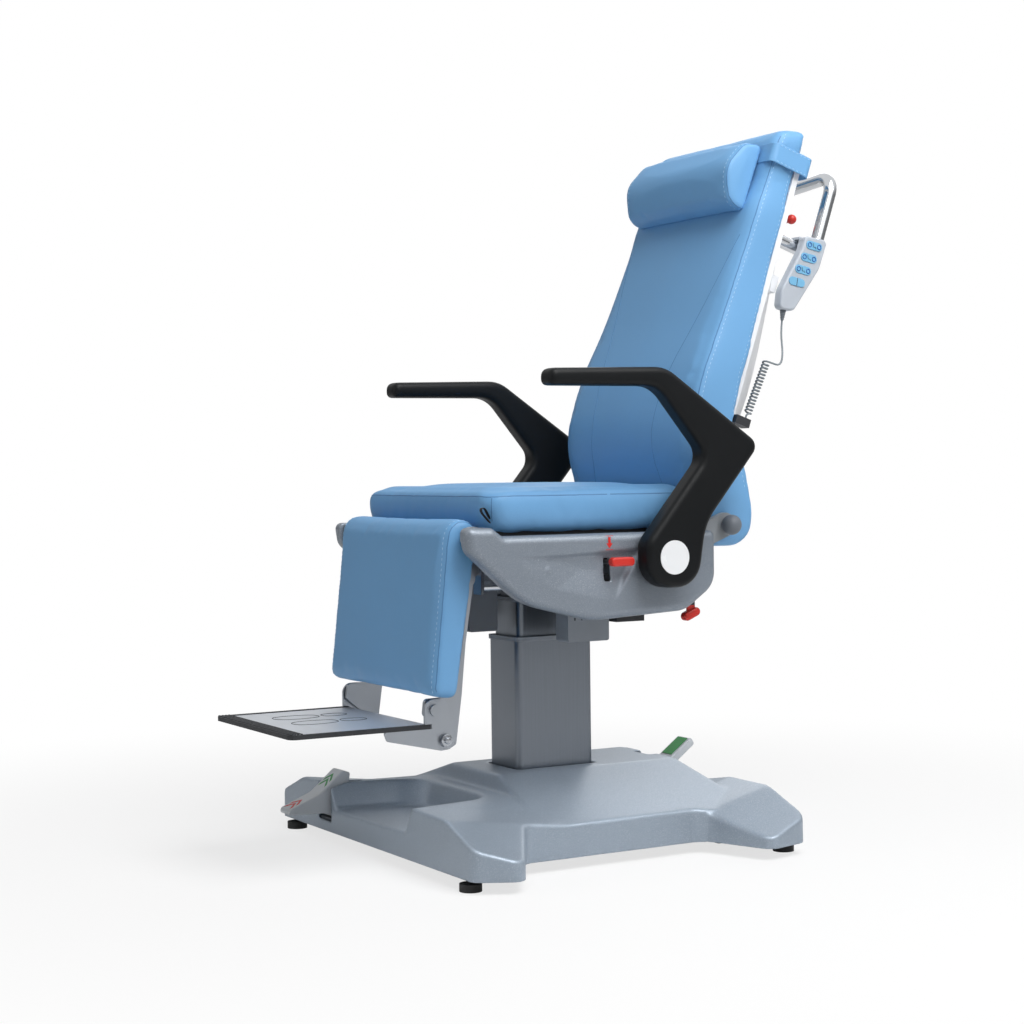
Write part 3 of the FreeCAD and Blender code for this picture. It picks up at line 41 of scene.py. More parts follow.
# Studio: one pale seamless floor under four soft lamps.
# The floor shows white to the eye and in reflections, and keeps the chair's shadow.
class Wire:
    """A shader socket that builds the maths and the nodes it goes into."""

    def __init__(self, tree, socket):
        self.tree = tree
        self.socket = socket

    def node(self, kind, settings, values, output=0):
        made = self.tree.nodes.new(kind)
        for name, value in settings.items():
            setattr(made, name, value)
        for name, value in values.items():
            if isinstance(value, Wire):
                self.tree.links.new(value.socket, made.inputs[name])
            else:
                made.inputs[name].default_value = value
        return Wire(self.tree, made.outputs[output])

    def maths(self, operation, first, second):
        return self.node("ShaderNodeMath", {"operation": operation}, {0: first, 1: second})

    def __add__(self, other):
        return self.maths("ADD", self, other)

    def __mul__(self, other):
        return self.maths("MULTIPLY", self, other)

    def __gt__(self, other):
        return self.maths("GREATER_THAN", self, other)

    def __lt__(self, other):
        return self.maths("LESS_THAN", self, other)

    __radd__ = __add__
    __rmul__ = __mul__

    def between(self, dark, light):
        return self.node("ShaderNodeMix", {"data_type": "RGBA"}, {0: self, 6: dark, 7: light}, 2)

    def eased(self, low, high, start, end):
        """Runs smoothly from start to end while the value goes from low to high."""
        return self.node("ShaderNodeMapRange", {"interpolation_type": "SMOOTHSTEP"},
                         {"Value": self, "From Min": low, "From Max": high, "To Min": start, "To Max": end})

    def noise(self, scale, detail, **more):
        return self.node("ShaderNodeTexNoise", {}, {"Vector": self, "Scale": scale, "Detail": detail, **more})

    def pebbled(self, scale):
        return self.node("ShaderNodeTexVoronoi", {"feature": "SMOOTH_F1"},
                         {"Vector": self, "Scale": scale}, "Distance")

    def bump(self, distance, strength):
        return self.node("ShaderNodeBump", {}, {"Height": self, "Distance": distance, "Strength": strength})


def new_finish(name, roughness, metallic=0.0):
    """A material with its shader and the piece's own coordinates."""
    material = bpy.data.materials.new(name)
    material.use_nodes = True
    tree = material.node_tree
    shader = tree.nodes["Principled BSDF"]
    shader.inputs["Roughness"].default_value = roughness
    shader.inputs["Metallic"].default_value = metallic
    coordinates = tree.nodes.new("ShaderNodeTexCoord")
    return material, shader, Wire(tree, coordinates.outputs["Object"])


def feed(shader, socket, wire):
    wire.tree.links.new(wire.socket, shader.inputs[socket])


def rays(tree):
    """Wires that are 1 for a ray to the camera, a mirrored ray and a ray through glass."""
    paths = tree.nodes.new("ShaderNodeLightPath")
    return [Wire(tree, paths.outputs["Is %s Ray" % kind]) for kind in ("Camera", "Glossy", "Transmission")]


def put(name, data):
    """A new object in the scene that carries this lamp, camera, mesh or curve."""
    piece = bpy.data.objects.new(name, data)
    scene.collection.objects.link(piece)
    return piece


def lamp(name, place, aim, width, power):
    light = bpy.data.lights.new(name, "AREA")
    light.shape = "SQUARE"
    light.size = width
    light.energy = power
    towards = Vector(aim) - Vector(place)
    holder = put(name, light)
    holder.matrix_world = Matrix.Translation(place) @ towards.to_track_quat("-Z", "Y").to_matrix().to_4x4()


FLOOR_HALF = 9.0
FLOOR_WHITE = (0.90, 0.90, 0.90, 1.0)
FLOOR_MIRRORED = 0.4
SHADOW_REACH = (0.6, 2.0)
SEEN_WHITE = 0.72
bpy.ops.mesh.primitive_plane_add(size=2 * FLOOR_HALF, location=(0, 0, 0))
floor = bpy.context.object
floor.name = "studio_floor"
floor_paint, floor_shader, floor_place = new_finish("studio_floor_paint", 0.9)
floor_shader.inputs["Base Color"].default_value = FLOOR_WHITE
seen, mirrored, through = rays(floor_paint.node_tree)
glow = seen.node("ShaderNodeEmission", {}, {"Color": (1, 1, 1, 1), "Strength": 1.0})
painted = Wire(floor_paint.node_tree, floor_shader.outputs["BSDF"])
reach = floor_place.node("ShaderNodeVectorMath", {"operation": "LENGTH"}, {0: floor_place}, "Value")
whiteness = (seen + mirrored * FLOOR_MIRRORED + through) * reach.eased(*SHADOW_REACH, SEEN_WHITE, 1.0)
shown = seen.node("ShaderNodeMixShader", {}, {0: whiteness, 1: painted, 2: glow})
feed(floor_paint.node_tree.nodes["Material Output"], "Surface", shown)
floor.data.materials.append(floor_paint)

ROOM_LIGHT = 0.17
ROOM_MIRRORED_LOW = 0.05
ROOM_MIRRORED_HIGH = 0.8
ROOM_RISE = 0.6
world = bpy.data.worlds.new("studio_room")
scene.world = world
world.use_nodes = True
room = world.node_tree.nodes["Background"]
room.inputs["Color"].default_value = (1, 1, 1, 1)
looked, glossed, passed = rays(world.node_tree)
compass = world.node_tree.nodes.new("ShaderNodeTexCoord")
direction = Wire(world.node_tree, compass.outputs["Generated"])
height = direction.node("ShaderNodeSeparateXYZ", {}, {"Vector": direction}, "Z")
overhead = height.eased(0.0, ROOM_RISE, ROOM_MIRRORED_LOW, ROOM_MIRRORED_HIGH)
white = looked + glossed * overhead + passed
feed(room, "Strength", white.maths("MINIMUM", white * (1 - ROOM_LIGHT) + ROOM_LIGHT, 1.0))

lamp("side_lamp", (3.4, 1.0, 2.2), (0, 0, 0.7), width=1.8, power=10)
lamp("top_lamp", (1.7, 0.3, 3.0), (0, 0, 0.4), width=2.2, power=98)
lamp("front_lamp", (-0.6, -3.6, 1.6), (0, 0, 0.7), width=2.0, power=14)
lamp("back_lamp", (-2.6, 2.6, 2.2), (0, 0, 0.8), width=2.0, power=20)

# Camera: a long lens at about the seat's height, to the chair's left front.
# It looks a touch downwards and is rolled by less than a degree.
LENS = 71.11
CAMERA_PLACE = Vector((3.2598, -1.9188, 0.6929))
HEADING = math.radians(60.273)
PITCH = math.radians(-1.239)
ROLL = math.radians(-0.689)
ahead = Vector((-math.sin(HEADING) * math.cos(PITCH), math.cos(HEADING) * math.cos(PITCH), math.sin(PITCH)))
level_right = ahead.cross(Vector((0, 0, 1))).normalized()
level_up = level_right.cross(ahead)
right = level_right * math.cos(ROLL) + level_up * math.sin(ROLL)
upward = level_up * math.cos(ROLL) - level_right * math.sin(ROLL)
view = bpy.data.cameras.new("photo_camera")
view.lens = LENS
view.sensor_width = 36.0
view.clip_start = 0.05
camera = put("photo_camera", view)
camera.matrix_world = Matrix.Translation(CAMERA_PLACE) @ Matrix((right, upward, -ahead)).transposed().to_4x4()
scene.camera = camera
scene.view_settings.view_transform = "Standard"


# Base: a welded frame of painted square tube on four rubber-soled levelling feet.
# Its lift drive, roller shafts and bearings are turned steel and cast housings, hidden under the cover.
def shade(red, green, blue):
    """A colour as it is seen on a screen, made linear for the shader."""
    linear = []
    for value in (red / 255, green / 255, blue / 255):
        linear.append(value / 12.92 if value <= 0.04045 else ((value + 0.055) / 1.055) ** 2.4)
    return (*linear, 1.0)


def tinted(colour, share):
    """The colour made darker or lighter by a share."""
    return [min(1.0, value * share) for value in colour[:3]] + [1.0]


def moulded(name, colour, roughness, grain, depth, spread=0.10):
    """Moulded or powder-coated skin: cloudy colour, fine grain and a gloss that varies."""
    material, shader, place = new_finish(name, roughness)
    cloud = place.noise(scale=8.0, detail=4.0)
    pits = place.noise(scale=1 / grain, detail=2.0)
    tone = cloud * 0.6 + pits * 0.4
    feed(shader, "Base Color", tone.between(tinted(colour, 1 - spread), tinted(colour, 1 + spread)))
    feed(shader, "Roughness", roughness * 0.75 + cloud * (0.5 * roughness))
    feed(shader, "Normal", pits.bump(depth, strength=0.5))
    return material


def drawn_metal(name, colour, roughness, streaks, spread=0.14):
    """Drawn, brushed or turned metal: fine streaks along one direction in its colour and its gloss."""
    material, shader, place = new_finish(name, roughness, metallic=1.0)
    stretched = place.node("ShaderNodeMapping", {}, {"Vector": place, "Scale": streaks})
    lines = stretched.noise(scale=1.0, detail=3.0)
    haze = place.noise(scale=6.0, detail=3.0)
    tone = lines * 0.7 + haze * 0.3
    feed(shader, "Base Color", tone.between(tinted(colour, 1 - spread), tinted(colour, 1 + spread)))
    feed(shader, "Roughness", roughness * 0.6 + lines * (0.6 * roughness) + haze * (0.2 * roughness))
    feed(shader, "Normal", lines.bump(0.00006, strength=0.4))
    return material


def clad(material, *nodes):
    for node in nodes:
        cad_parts[node].material_slots[0].material = material


frame_coat = moulded("frame_powder_coat", shade(96, 102, 110), 0.55, grain=0.0012, depth=0.0002)
foot_rubber = moulded("foot_rubber", shade(24, 25, 27), 0.62, grain=0.0009, depth=0.0002)
motor_housing = moulded("motor_housing", shade(42, 44, 48), 0.48, grain=0.0010, depth=0.0001)
turned_steel = drawn_metal("turned_steel", shade(196, 200, 205), 0.24, streaks=(900, 900, 30))
clad(frame_coat, "base_frame", "front_roller_shaft", "rear_roller_shaft")
clad(foot_rubber, "levelling_feet", "front_rollers", "rear_rollers")
clad(motor_housing, "lift_motor")
clad(turned_steel, "lift_screw", "lift_nut", "swivel_bearing")

# Lifting column: three nested tubes of brushed stainless steel, each with a grey plastic guide collar.
# The tubes come as drawn sections, brushed along their length.
brushed_tube = drawn_metal("brushed_tube", shade(124, 130, 138), 0.34, streaks=(420, 420, 5), spread=0.16)
collar_plastic = moulded("collar_plastic", shade(140, 147, 156), 0.42, grain=0.0008, depth=0.0001)
clad(brushed_tube, "column_outer", "column_middle", "column_inner")
clad(collar_plastic, "column_outer_collar", "column_middle_collar")


# Base cover: one thick vacuum-formed moulding with soft edges, sprayed with a metallic texture paint.
# It drops over the frame and rests on four posts.
def only(piece):
    bpy.ops.object.select_all(action="DESELECT")
    piece.select_set(True)
    bpy.context.view_layer.objects.active = piece


def modify(piece, kind, **settings):
    """Adds a modifier and applies it at once."""
    only(piece)
    modifier = piece.modifiers.new(kind.lower(), kind)
    for name, value in settings.items():
        setattr(modifier, name, value)
    bpy.ops.object.modifier_apply(modifier=modifier.name)


SEWN_GAP = 0.00002


def sewn_copy(node, name):
    """A copy of a solid with its loose triangles joined into one skin."""
    piece = put(name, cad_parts[node].data.copy())
    piece.data.materials.clear()
    only(piece)
    bpy.ops.mesh.customdata_custom_splitnormals_clear()
    bpy.ops.object.mode_set(mode="EDIT")
    bpy.ops.mesh.select_all(action="SELECT")
    bpy.ops.mesh.remove_doubles(threshold=SEWN_GAP)
    bpy.ops.object.mode_set(mode="OBJECT")
    return piece


def softened_copy(node, name, voxel, passes, kept, free=None):
    """The solid with its edges run soft, as a moulding leaves its tool; free says which points may move."""
    piece = sewn_copy(node, name)
    modify(piece, "REMESH", mode="VOXEL", voxel_size=voxel)
    group = piece.vertex_groups.new(name="free")
    for vertex in piece.data.vertices:
        group.add([vertex.index], 1.0 if free is None else free(vertex.co), "REPLACE")
    modify(piece, "SMOOTH", factor=0.5, iterations=passes, vertex_group="free")
    piece.vertex_groups.clear()
    modify(piece, "DECIMATE", ratio=kept)
    only(piece)
    bpy.ops.object.shade_smooth()
    return piece


def dress(piece, body, slot, material, *nodes):
    piece.data.materials.clear()
    piece.data.materials.append(material)
    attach(piece, body)
    if nodes:
        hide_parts(*nodes)


def texture_paint(name, colour, flake, roughness):
    """Metallic texture paint: bright flakes in a grey coat over a fine leathery spatter."""
    material, shader, place = new_finish(name, roughness, metallic=0.35)
    spatter = place.pebbled(scale=420.0)
    flakes = place.noise(scale=900.0, detail=2.0)
    cloud = place.noise(scale=5.0, detail=4.0)
    bright = flakes > 0.62
    coat = cloud.between(tinted(colour, 0.86), colour)
    feed(shader, "Base Color", (bright * 0.55).between(coat, flake))
    feed(shader, "Roughness", roughness * 0.85 + spatter * 0.25 + cloud * 0.06)
    feed(shader, "Normal", spatter.bump(0.0005, strength=0.35))
    shader.inputs["Coat Weight"].default_value = 0.15
    shader.inputs["Coat Roughness"].default_value = 0.25
    return material


COVER_RIM = 0.030
RIM_BLEND = 0.015
FRONT_PEDAL_X = -0.190
FRONT_NOTCH_HALF = 0.045
FRONT_NOTCH_END = -0.25
REAR_NOTCH_HALF = 0.075
REAR_NOTCH_END = 0.20
NOTCH_SHARE = 0.06


def run_soft(point):
    """The cover's edges run soft above its rim; the walls beside the pedals' notches keep their form."""
    rise = min(1.0, max(0.0, (point.z - COVER_RIM) / RIM_BLEND))
    by_rear_pedal = abs(point.x) < REAR_NOTCH_HALF and point.y > REAR_NOTCH_END
    by_front_pedal = abs(point.x - FRONT_PEDAL_X) < FRONT_NOTCH_HALF and point.y < FRONT_NOTCH_END
    return rise * (NOTCH_SHARE if by_rear_pedal or by_front_pedal else 1.0)


cover_paint = texture_paint("cover_texture_paint", shade(154, 167, 181), shade(210, 218, 228), 0.36)
base_cover = softened_copy("base_cover", "base_cover_moulding", voxel=0.0026, passes=34, kept=0.3, free=run_soft)
dress(base_cover, "base", "cover_paint", cover_paint, "base_cover")


# Pedals: light grey mouldings clamped on the roller shafts, one in front and one behind.
# The front treads have green and red chevrons inlaid, the rear tread a green panel.
def raised_mark(name, outlines, origin, across, along, height, material, body, slot):
    """Thin shapes inlaid on a plane face; each outline is given across and along the face."""
    across = Vector(across).normalized()
    along = Vector(along).normalized()
    points = []
    faces = []
    for shape in outlines:
        faces.append(tuple(range(len(points), len(points) + len(shape))))
        points += [Vector(origin) + across * u + along * v for u, v in shape]
    mesh = bpy.data.meshes.new(name)
    mesh.from_pydata(points, [], faces)
    piece = put(name, mesh)
    modify(piece, "SOLIDIFY", thickness=height, offset=1.0)
    modify(piece, "BEVEL", width=0.25 * height, segments=1, limit_method="ANGLE")
    dress(piece, body, slot, material)


CHEVRON_HALF = 0.014
CHEVRON_ARM = 0.007


def chevron(tip):
    """A V with its tip up, as an outline."""
    shoulder = tip - CHEVRON_HALF
    return [(-CHEVRON_HALF, shoulder), (0, tip), (CHEVRON_HALF, shoulder),
            (CHEVRON_HALF, shoulder - CHEVRON_ARM), (0, tip - CHEVRON_ARM), (-CHEVRON_HALF, shoulder - CHEVRON_ARM)]


def panel(left, right, low, high):
    """A plain rectangle, as an outline."""
    return [(left, low), (right, low), (right, high), (left, high)]


pedal_grey = moulded("pedal_grey", shade(204, 209, 214), 0.36, grain=0.0009, depth=0.0001, spread=0.06)
green_mark = moulded("green_mark", shade(28, 140, 62), 0.4, grain=0.0008, depth=0.0001)
red_mark = moulded("red_mark", shade(208, 40, 34), 0.4, grain=0.0008, depth=0.0001)
clad(pedal_grey, "front_pedal", "rear_pedal")
upper_tread = Vector((0, 0.048, 0.041)).normalized()
lower_tread = Vector((0, 0.058, 0.023)).normalized()
rear_tread = Vector((0, 0.058, 0.042)).normalized()
raised_mark("front_pedal_green", [chevron(0.020), chevron(0.007)], Vector((FRONT_PEDAL_X, -0.356, 0.1130)),
            (1, 0, 0), upper_tread, 0.0007, green_mark, "front_gear", "light_plastic")
raised_mark("front_pedal_red", [chevron(0.016), chevron(0.003)], Vector((FRONT_PEDAL_X, -0.420, 0.0765)),
            (1, 0, 0), lower_tread, 0.0007, red_mark, "front_gear", "light_plastic")
raised_mark("rear_pedal_green", [panel(-0.016, 0.016, -0.022, 0.026)], Vector((0, 0.300, 0.1478)),
            (1, 0, 0), rear_tread, 0.0008, green_mark, "rear_gear", "light_plastic")

# Seat frame, board and drives: welded sheet steel with a plywood board on top, painted dark grey as the shade under
# the cushion's edge.
# Two linear actuators with steel rods are pinned between the frame and the cranks of the back and the leg rest.
# The board's dark grey is painted shade: it stands for the dark line under the seat cushion.
board_painted_shade = moulded("board_painted_shade", shade(40, 42, 46), 0.75, grain=0.0012, depth=0.0003)
sheet_steel = moulded("grey_sheet_steel", shade(150, 155, 160), 0.42, grain=0.0011, depth=0.0001)
clad(sheet_steel, "seat_frame")
clad(board_painted_shade, "seat_board")
clad(motor_housing, "back_actuator", "leg_actuator")
clad(turned_steel, "back_actuator_rod", "leg_actuator_rod")

# Control box and power box: a plastic box beside the column and a coated one in front of it.
# Both hang under the seat frame. The control box has cooling slots near the top of its outer side, drawn as thin
# dark patches of painted shade.
BOX_SIDE = 0.1540
BOX_SLOTS = 5
BOX_SLOT_PITCH = 0.0145
BOX_SLOT_HALF = 0.0014
BOX_SLOT_RISE = 0.007
# The slots are thin dark patches laid on the box: painted shade in their openings.
slot_painted_shade = moulded("slot_painted_shade", shade(30, 32, 35), 0.7, grain=0.0010, depth=0.0001)
clad(collar_plastic, "control_box")
clad(frame_coat, "power_box")
slots = []
for row in range(BOX_SLOTS):
    middle = BOX_SLOT_PITCH * (row - 2)
    slots.append(panel(middle - BOX_SLOT_HALF, middle + BOX_SLOT_HALF, -BOX_SLOT_RISE, BOX_SLOT_RISE))
raised_mark("box_slot_painted_shade", slots, Vector((BOX_SIDE, 0.0115, 0.424)), (0, 1, 0), (0, 0, 1), 0.0003, slot_painted_shade,
            "seat", "dark_plastic")


# Seat cushion: a foam block on the board, covered in light blue coated fabric.
# The cover is sewn from panels, with a rolled seam round its top and down its front corners, and pulled tight.
def coated_fabric(name, colour):
    """Soft vinyl: leathery pebble grain, faint pulls and a satin gloss."""
    material, shader, place = new_finish(name, 0.46)
    pebbles = place.pebbled(scale=520.0)
    fine = place.noise(scale=1500.0, detail=2.0)
    cloud = place.noise(scale=4.0, detail=5.0, Roughness=0.55)
    pulled = place.noise(scale=14.0, detail=3.0, Distortion=0.6)
    tone = cloud * 0.75 + pebbles * 0.25
    feed(shader, "Base Color", tone.between(tinted(colour, 0.90), tinted(colour, 1.06)))
    feed(shader, "Roughness", 0.38 + pebbles * 0.16 + cloud * 0.08)
    grain = pebbles * 0.5 + fine * 0.2 + pulled * 1.4
    feed(shader, "Normal", grain.bump(0.0005, strength=0.35))
    shader.inputs["Specular IOR Level"].default_value = 0.36
    return material


SWELL_PRESSURE = 4.0
SWELL_FRAMES = 20
INWARD_SHARE = 0.15


def stuffed(node, name, ease, cap, voxel, crown):
    """The foam block's form drawn in by the ease, then swollen as cloth under pressure, no further than the cap.

    A crown is the number of times that the top is evened out first."""
    piece = sewn_copy(node, name)
    modify(piece, "REMESH", mode="VOXEL", voxel_size=voxel)
    modify(piece, "SMOOTH", factor=0.5, iterations=4)
    modify(piece, "SHRINKWRAP", target=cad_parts[node], wrap_method="NEAREST_SURFACEPOINT")
    modify(piece, "SMOOTH", factor=0.5, iterations=2)
    if crown:
        group = piece.vertex_groups.new(name="crown")
        group.add([vertex.index for vertex in piece.data.vertices if vertex.normal.z > 0.9], 1.0, "REPLACE")
        modify(piece, "SMOOTH", factor=0.5, iterations=crown, vertex_group="crown")
        piece.vertex_groups.clear()
    modify(piece, "DISPLACE", strength=-ease, mid_level=0.0)
    start = [(vertex.co.copy(), vertex.normal.copy()) for vertex in piece.data.vertices]
    cloth = piece.modifiers.new("cloth", "CLOTH")
    cloth.settings.use_pressure = True
    cloth.settings.uniform_pressure_force = SWELL_PRESSURE
    cloth.settings.effector_weights.gravity = 0.0
    for step in range(1, SWELL_FRAMES + 1):
        scene.frame_set(step)
    only(piece)
    bpy.ops.object.modifier_apply(modifier="cloth")
    scene.frame_set(1)
    for vertex, (before, outward) in zip(piece.data.vertices, start):
        moved = vertex.co - before
        if moved.dot(outward) < 0:
            moved *= INWARD_SHARE
        if moved.length > cap:
            moved *= cap / moved.length
        vertex.co = before + moved
    modify(piece, "SMOOTH", factor=0.5, iterations=3)
    modify(piece, "SUBSURF", levels=1, render_levels=1)
    only(piece)
    bpy.ops.object.shade_smooth()
    return piece


def upholstered(node, name, body, ease, cap, voxel, crown=0):
    piece = stuffed(node, name, ease, cap, voxel, crown)
    dress(piece, body, "vinyl", blue_fabric, node)
    return piece


GUIDE_STEP = 0.003


def laid_on(host, guide, spacing):
    """Evenly spaced (point, normal, heading) along a guide line laid on a piece's surface."""
    on_surface = []
    for start, end in zip(guide, guide[1:]):
        steps = max(1, int((end - start).length / GUIDE_STEP))
        for step in range(steps):
            found = host.closest_point_on_mesh(start.lerp(end, step / steps))
            on_surface.append((found[1], found[2]))
    laid = []
    since = spacing
    for (before, normal), (after, _) in zip(on_surface, on_surface[1:]):
        step = (after - before).length
        since += step
        if since >= spacing and step > 1e-6:
            since = 0.0
            laid.append((after, normal, (after - before).normalized()))
    return laid


def round_line(name, radius, rounding):
    """An empty curve with a round section."""
    line = bpy.data.curves.new(name, "CURVE")
    line.dimensions = "3D"
    line.bevel_depth = radius
    line.bevel_resolution = rounding
    return line


def add_run(line, kind, points):
    """Adds one run of points to a curve."""
    spline = line.splines.new(kind)
    spline.points.add(len(points) - 1)
    for knot, point in zip(spline.points, points):
        knot.co = (*point, 1.0)
    return spline


def as_mesh(piece):
    only(piece)
    bpy.ops.object.convert(target="MESH")
    return bpy.context.object


SEAM_STEP = 0.006
SEAM_SUNK = 0.35


def seam(name, host, guide, body, radius=0.0011):
    """The rolled edge of a sewn seam, half sunk in the cover, in a darker blue that is painted shade along the seam.
    """
    line = round_line(name, radius, rounding=2)
    laid = laid_on(host, guide, SEAM_STEP)
    add_run(line, "POLY", [point - normal * radius * SEAM_SUNK for point, normal, _ in laid])
    piece = as_mesh(put(name, line))
    only(piece)
    bpy.ops.object.shade_smooth()
    dress(piece, body, "vinyl", seam_painted_shade)


def rounded_loop(side, front, rear, corner, height):
    """Closed rounded rectangle in plan, starting and ending at its left middle."""
    loop = [Vector((side, 0, height))]
    for x_sign, y_end, first in ((1, rear, 0), (-1, rear, 90), (-1, front, 180), (1, front, 270)):
        centre = Vector((x_sign * (side - corner), y_end - math.copysign(corner, y_end), height))
        for step in range(7):
            angle = math.radians(first + 15 * step)
            loop.append(centre + Vector((math.cos(angle), math.sin(angle), 0)) * corner)
    return loop + [loop[0].copy()]


SIDES = (("left", 1), ("right", -1))
SEAT_SIDE = 0.250
SEAT_FRONT = -0.246
SEAT_REAR = 0.195
SEAT_CORNER = 0.042
SEAT_SEAM = 0.648
CORNER_INSET = 0.012
CORNER_TOP = 0.647
CORNER_FOOT = 0.590
blue_fabric = coated_fabric("blue_coated_fabric", shade(112, 166, 213))
# Seams take a darker blue than the cover: painted shade along their creases.
seam_painted_shade = coated_fabric("blue_seam_painted_shade", shade(84, 132, 180))
seat_pad = upholstered("seat_cushion", "seat_pad", "seat", ease=0.0005, cap=0.006, voxel=0.0055, crown=120)
seam("seat_top_seam", seat_pad, rounded_loop(SEAT_SIDE, SEAT_FRONT, SEAT_REAR, SEAT_CORNER, SEAT_SEAM), "seat")
for tag, sign in SIDES:
    corner_x = sign * (SEAT_SIDE - CORNER_INSET)
    corner_y = SEAT_FRONT + CORNER_INSET
    corner_run = [Vector((corner_x, corner_y, level)) for level in (CORNER_TOP, CORNER_FOOT)]
    seam("seat_corner_seam_" + tag, seat_pad, corner_run, "seat")

# Lifting loop: a short piece of black webbing, doubled over.
# It is sewn under the seat cushion's left front corner.
LOOP_SIDE = 0.2300
LOOP_WIDTH = 0.011
LOOP_THICKNESS = 0.0012
LOOP_RUN = ((-0.234, 0.598), (-0.243, 0.608), (-0.252, 0.617), (-0.254, 0.623), (-0.250, 0.627), (-0.245, 0.624),
            (-0.241, 0.616), (-0.235, 0.605))
webbing = moulded("loop_webbing", shade(22, 23, 26), 0.8, grain=0.0010, depth=0.0003)
points = [(LOOP_SIDE + across, y, z) for across in (0, LOOP_WIDTH) for y, z in LOOP_RUN]
last = len(LOOP_RUN)
strips = [(step, step + 1, last + step + 1, last + step) for step in range(last - 1)]
loop_mesh = bpy.data.meshes.new("seat_loop")
loop_mesh.from_pydata(points, [], strips)
seat_loop = put("seat_loop", loop_mesh)
modify(seat_loop, "SOLIDIFY", thickness=LOOP_THICKNESS, offset=0.0)
modify(seat_loop, "SUBSURF", levels=2, render_levels=2)
only(seat_loop)
bpy.ops.object.shade_smooth()
dress(seat_loop, "seat", "dark_plastic", webbing)

# Side covers: moulded shells with a scooped flank, sprayed silver grey, screwed to the seat frame's ears.
# The left one has a red arrow above the lever's slot, between two fine lines.
LEVER_SLOT_Y = -0.016
LEVER_SLOT_HALF = 0.016
LEVER_SLOT_LOW = 0.480
LEVER_SLOT_HIGH = 0.545
HOLLOW_FRONT = -0.18
HOLLOW_REAR = 0.07
HOLLOW_LOW = 0.455
HOLLOW_HIGH = 0.550
HOLLOW_SIDE = 0.245
FIRM_SHARE = 0.35


def scooped(point):
    """The hollow of the flank runs soft; its rim, the edges and the lever's slot stay crisper."""
    beside_slot = (abs(point.y - LEVER_SLOT_Y) < LEVER_SLOT_HALF
                   and LEVER_SLOT_LOW < point.z < LEVER_SLOT_HIGH)
    in_hollow = (HOLLOW_FRONT < point.y < HOLLOW_REAR and HOLLOW_LOW < point.z < HOLLOW_HIGH
                 and abs(point.x) > HOLLOW_SIDE)
    return 1.0 if in_hollow and not beside_slot else FIRM_SHARE


FLANK_FACE = 0.2702
ARROW_HEIGHT = 0.5605
RELEASE_ARROW = ((-0.0025, 0.010), (-0.0025, -0.001), (-0.0065, -0.001), (0, -0.010), (0.0065, -0.001),
                 (0.0025, -0.001), (0.0025, 0.010))
flank_paint = texture_paint("flank_texture_paint", shade(132, 141, 152), shade(196, 204, 212), 0.36)
for tag, _ in SIDES:
    flank = softened_copy("side_cover_" + tag, "flank_" + tag, voxel=0.0018, passes=20, kept=0.4, free=scooped)
    dress(flank, "seat", "cover_paint", flank_paint, "side_cover_" + tag)
arrow_lines = [panel(-0.0075, 0.0075, level - 0.0005, level + 0.0005) for level in (0.012, -0.012)]
raised_mark("release_arrow", [RELEASE_ARROW] + arrow_lines, Vector((FLANK_FACE, LEVER_SLOT_Y, ARROW_HEIGHT)),
            (0, 1, 0), (0, 0, 1), 0.0004, red_mark, "seat", "red_plastic")


# Levers of the seat: moulded red grips on dark steel stems.
# One is pivoted inside the left cover, the other hangs from a pin behind the left seat rail.
def gripped(name, axis, edge, beyond):
    """Red grip on a dark stem; the grip starts where the piece passes the edge along one axis."""
    material, shader, place = new_finish(name, 0.34)
    run = place.node("ShaderNodeSeparateXYZ", {}, {"Vector": place}, axis)
    grip = run > edge if beyond else run < edge
    grain = place.noise(scale=700.0, detail=2.0)
    red = grain.between(shade(196, 38, 30), shade(216, 54, 44))
    stem = grain.between(shade(44, 46, 50), shade(60, 62, 66))
    feed(shader, "Base Color", grip.between(stem, red))
    feed(shader, "Roughness", 0.28 + grain * 0.14)
    feed(shader, "Normal", grain.bump(0.0001, strength=0.4))
    return material


clad(gripped("side_lever_finish", "X", edge=0.2725, beyond=True), "side_lever")
clad(gripped("rear_lever_finish", "Z", edge=0.4400, beyond=False), "rear_lever")

# Armrests: integral-skin foam moulded in one piece over a steel core, black.
# Each turns on a steel pivot at the flank, under a plain white hub disc.
arm_skin = moulded("arm_skin", shade(17, 19, 21), 0.42, grain=0.0011, depth=0.00025)
arm_skin.node_tree.nodes["Principled BSDF"].inputs["Specular IOR Level"].default_value = 0.18
disc_plastic = moulded("hub_disc_plastic", shade(236, 238, 240), 0.28, grain=0.0012, depth=0.00005, spread=0.03)
for tag, _ in SIDES:
    arm = softened_copy("armrest_" + tag, "arm_" + tag, voxel=0.0026, passes=10, kept=0.5)
    dress(arm, "arm_" + tag, "arm_foam", arm_skin, "armrest_" + tag)
clad(turned_steel, "arm_pivots")
clad(disc_plastic, "arm_disc_left", "arm_disc_right")


# Leg rest: a folded sheet frame on two hinge pins, with a foam pad rounded at its top.
# The pad's face panel is sewn to the sides with a flat seam, and light thread runs beside it.
STITCH_PITCH = 0.0072
STITCH_LENGTH = 0.0052
STITCH_WIDTH = 0.0011
STITCH_FLATNESS = 0.7
STITCH_LIFT = 0.0001


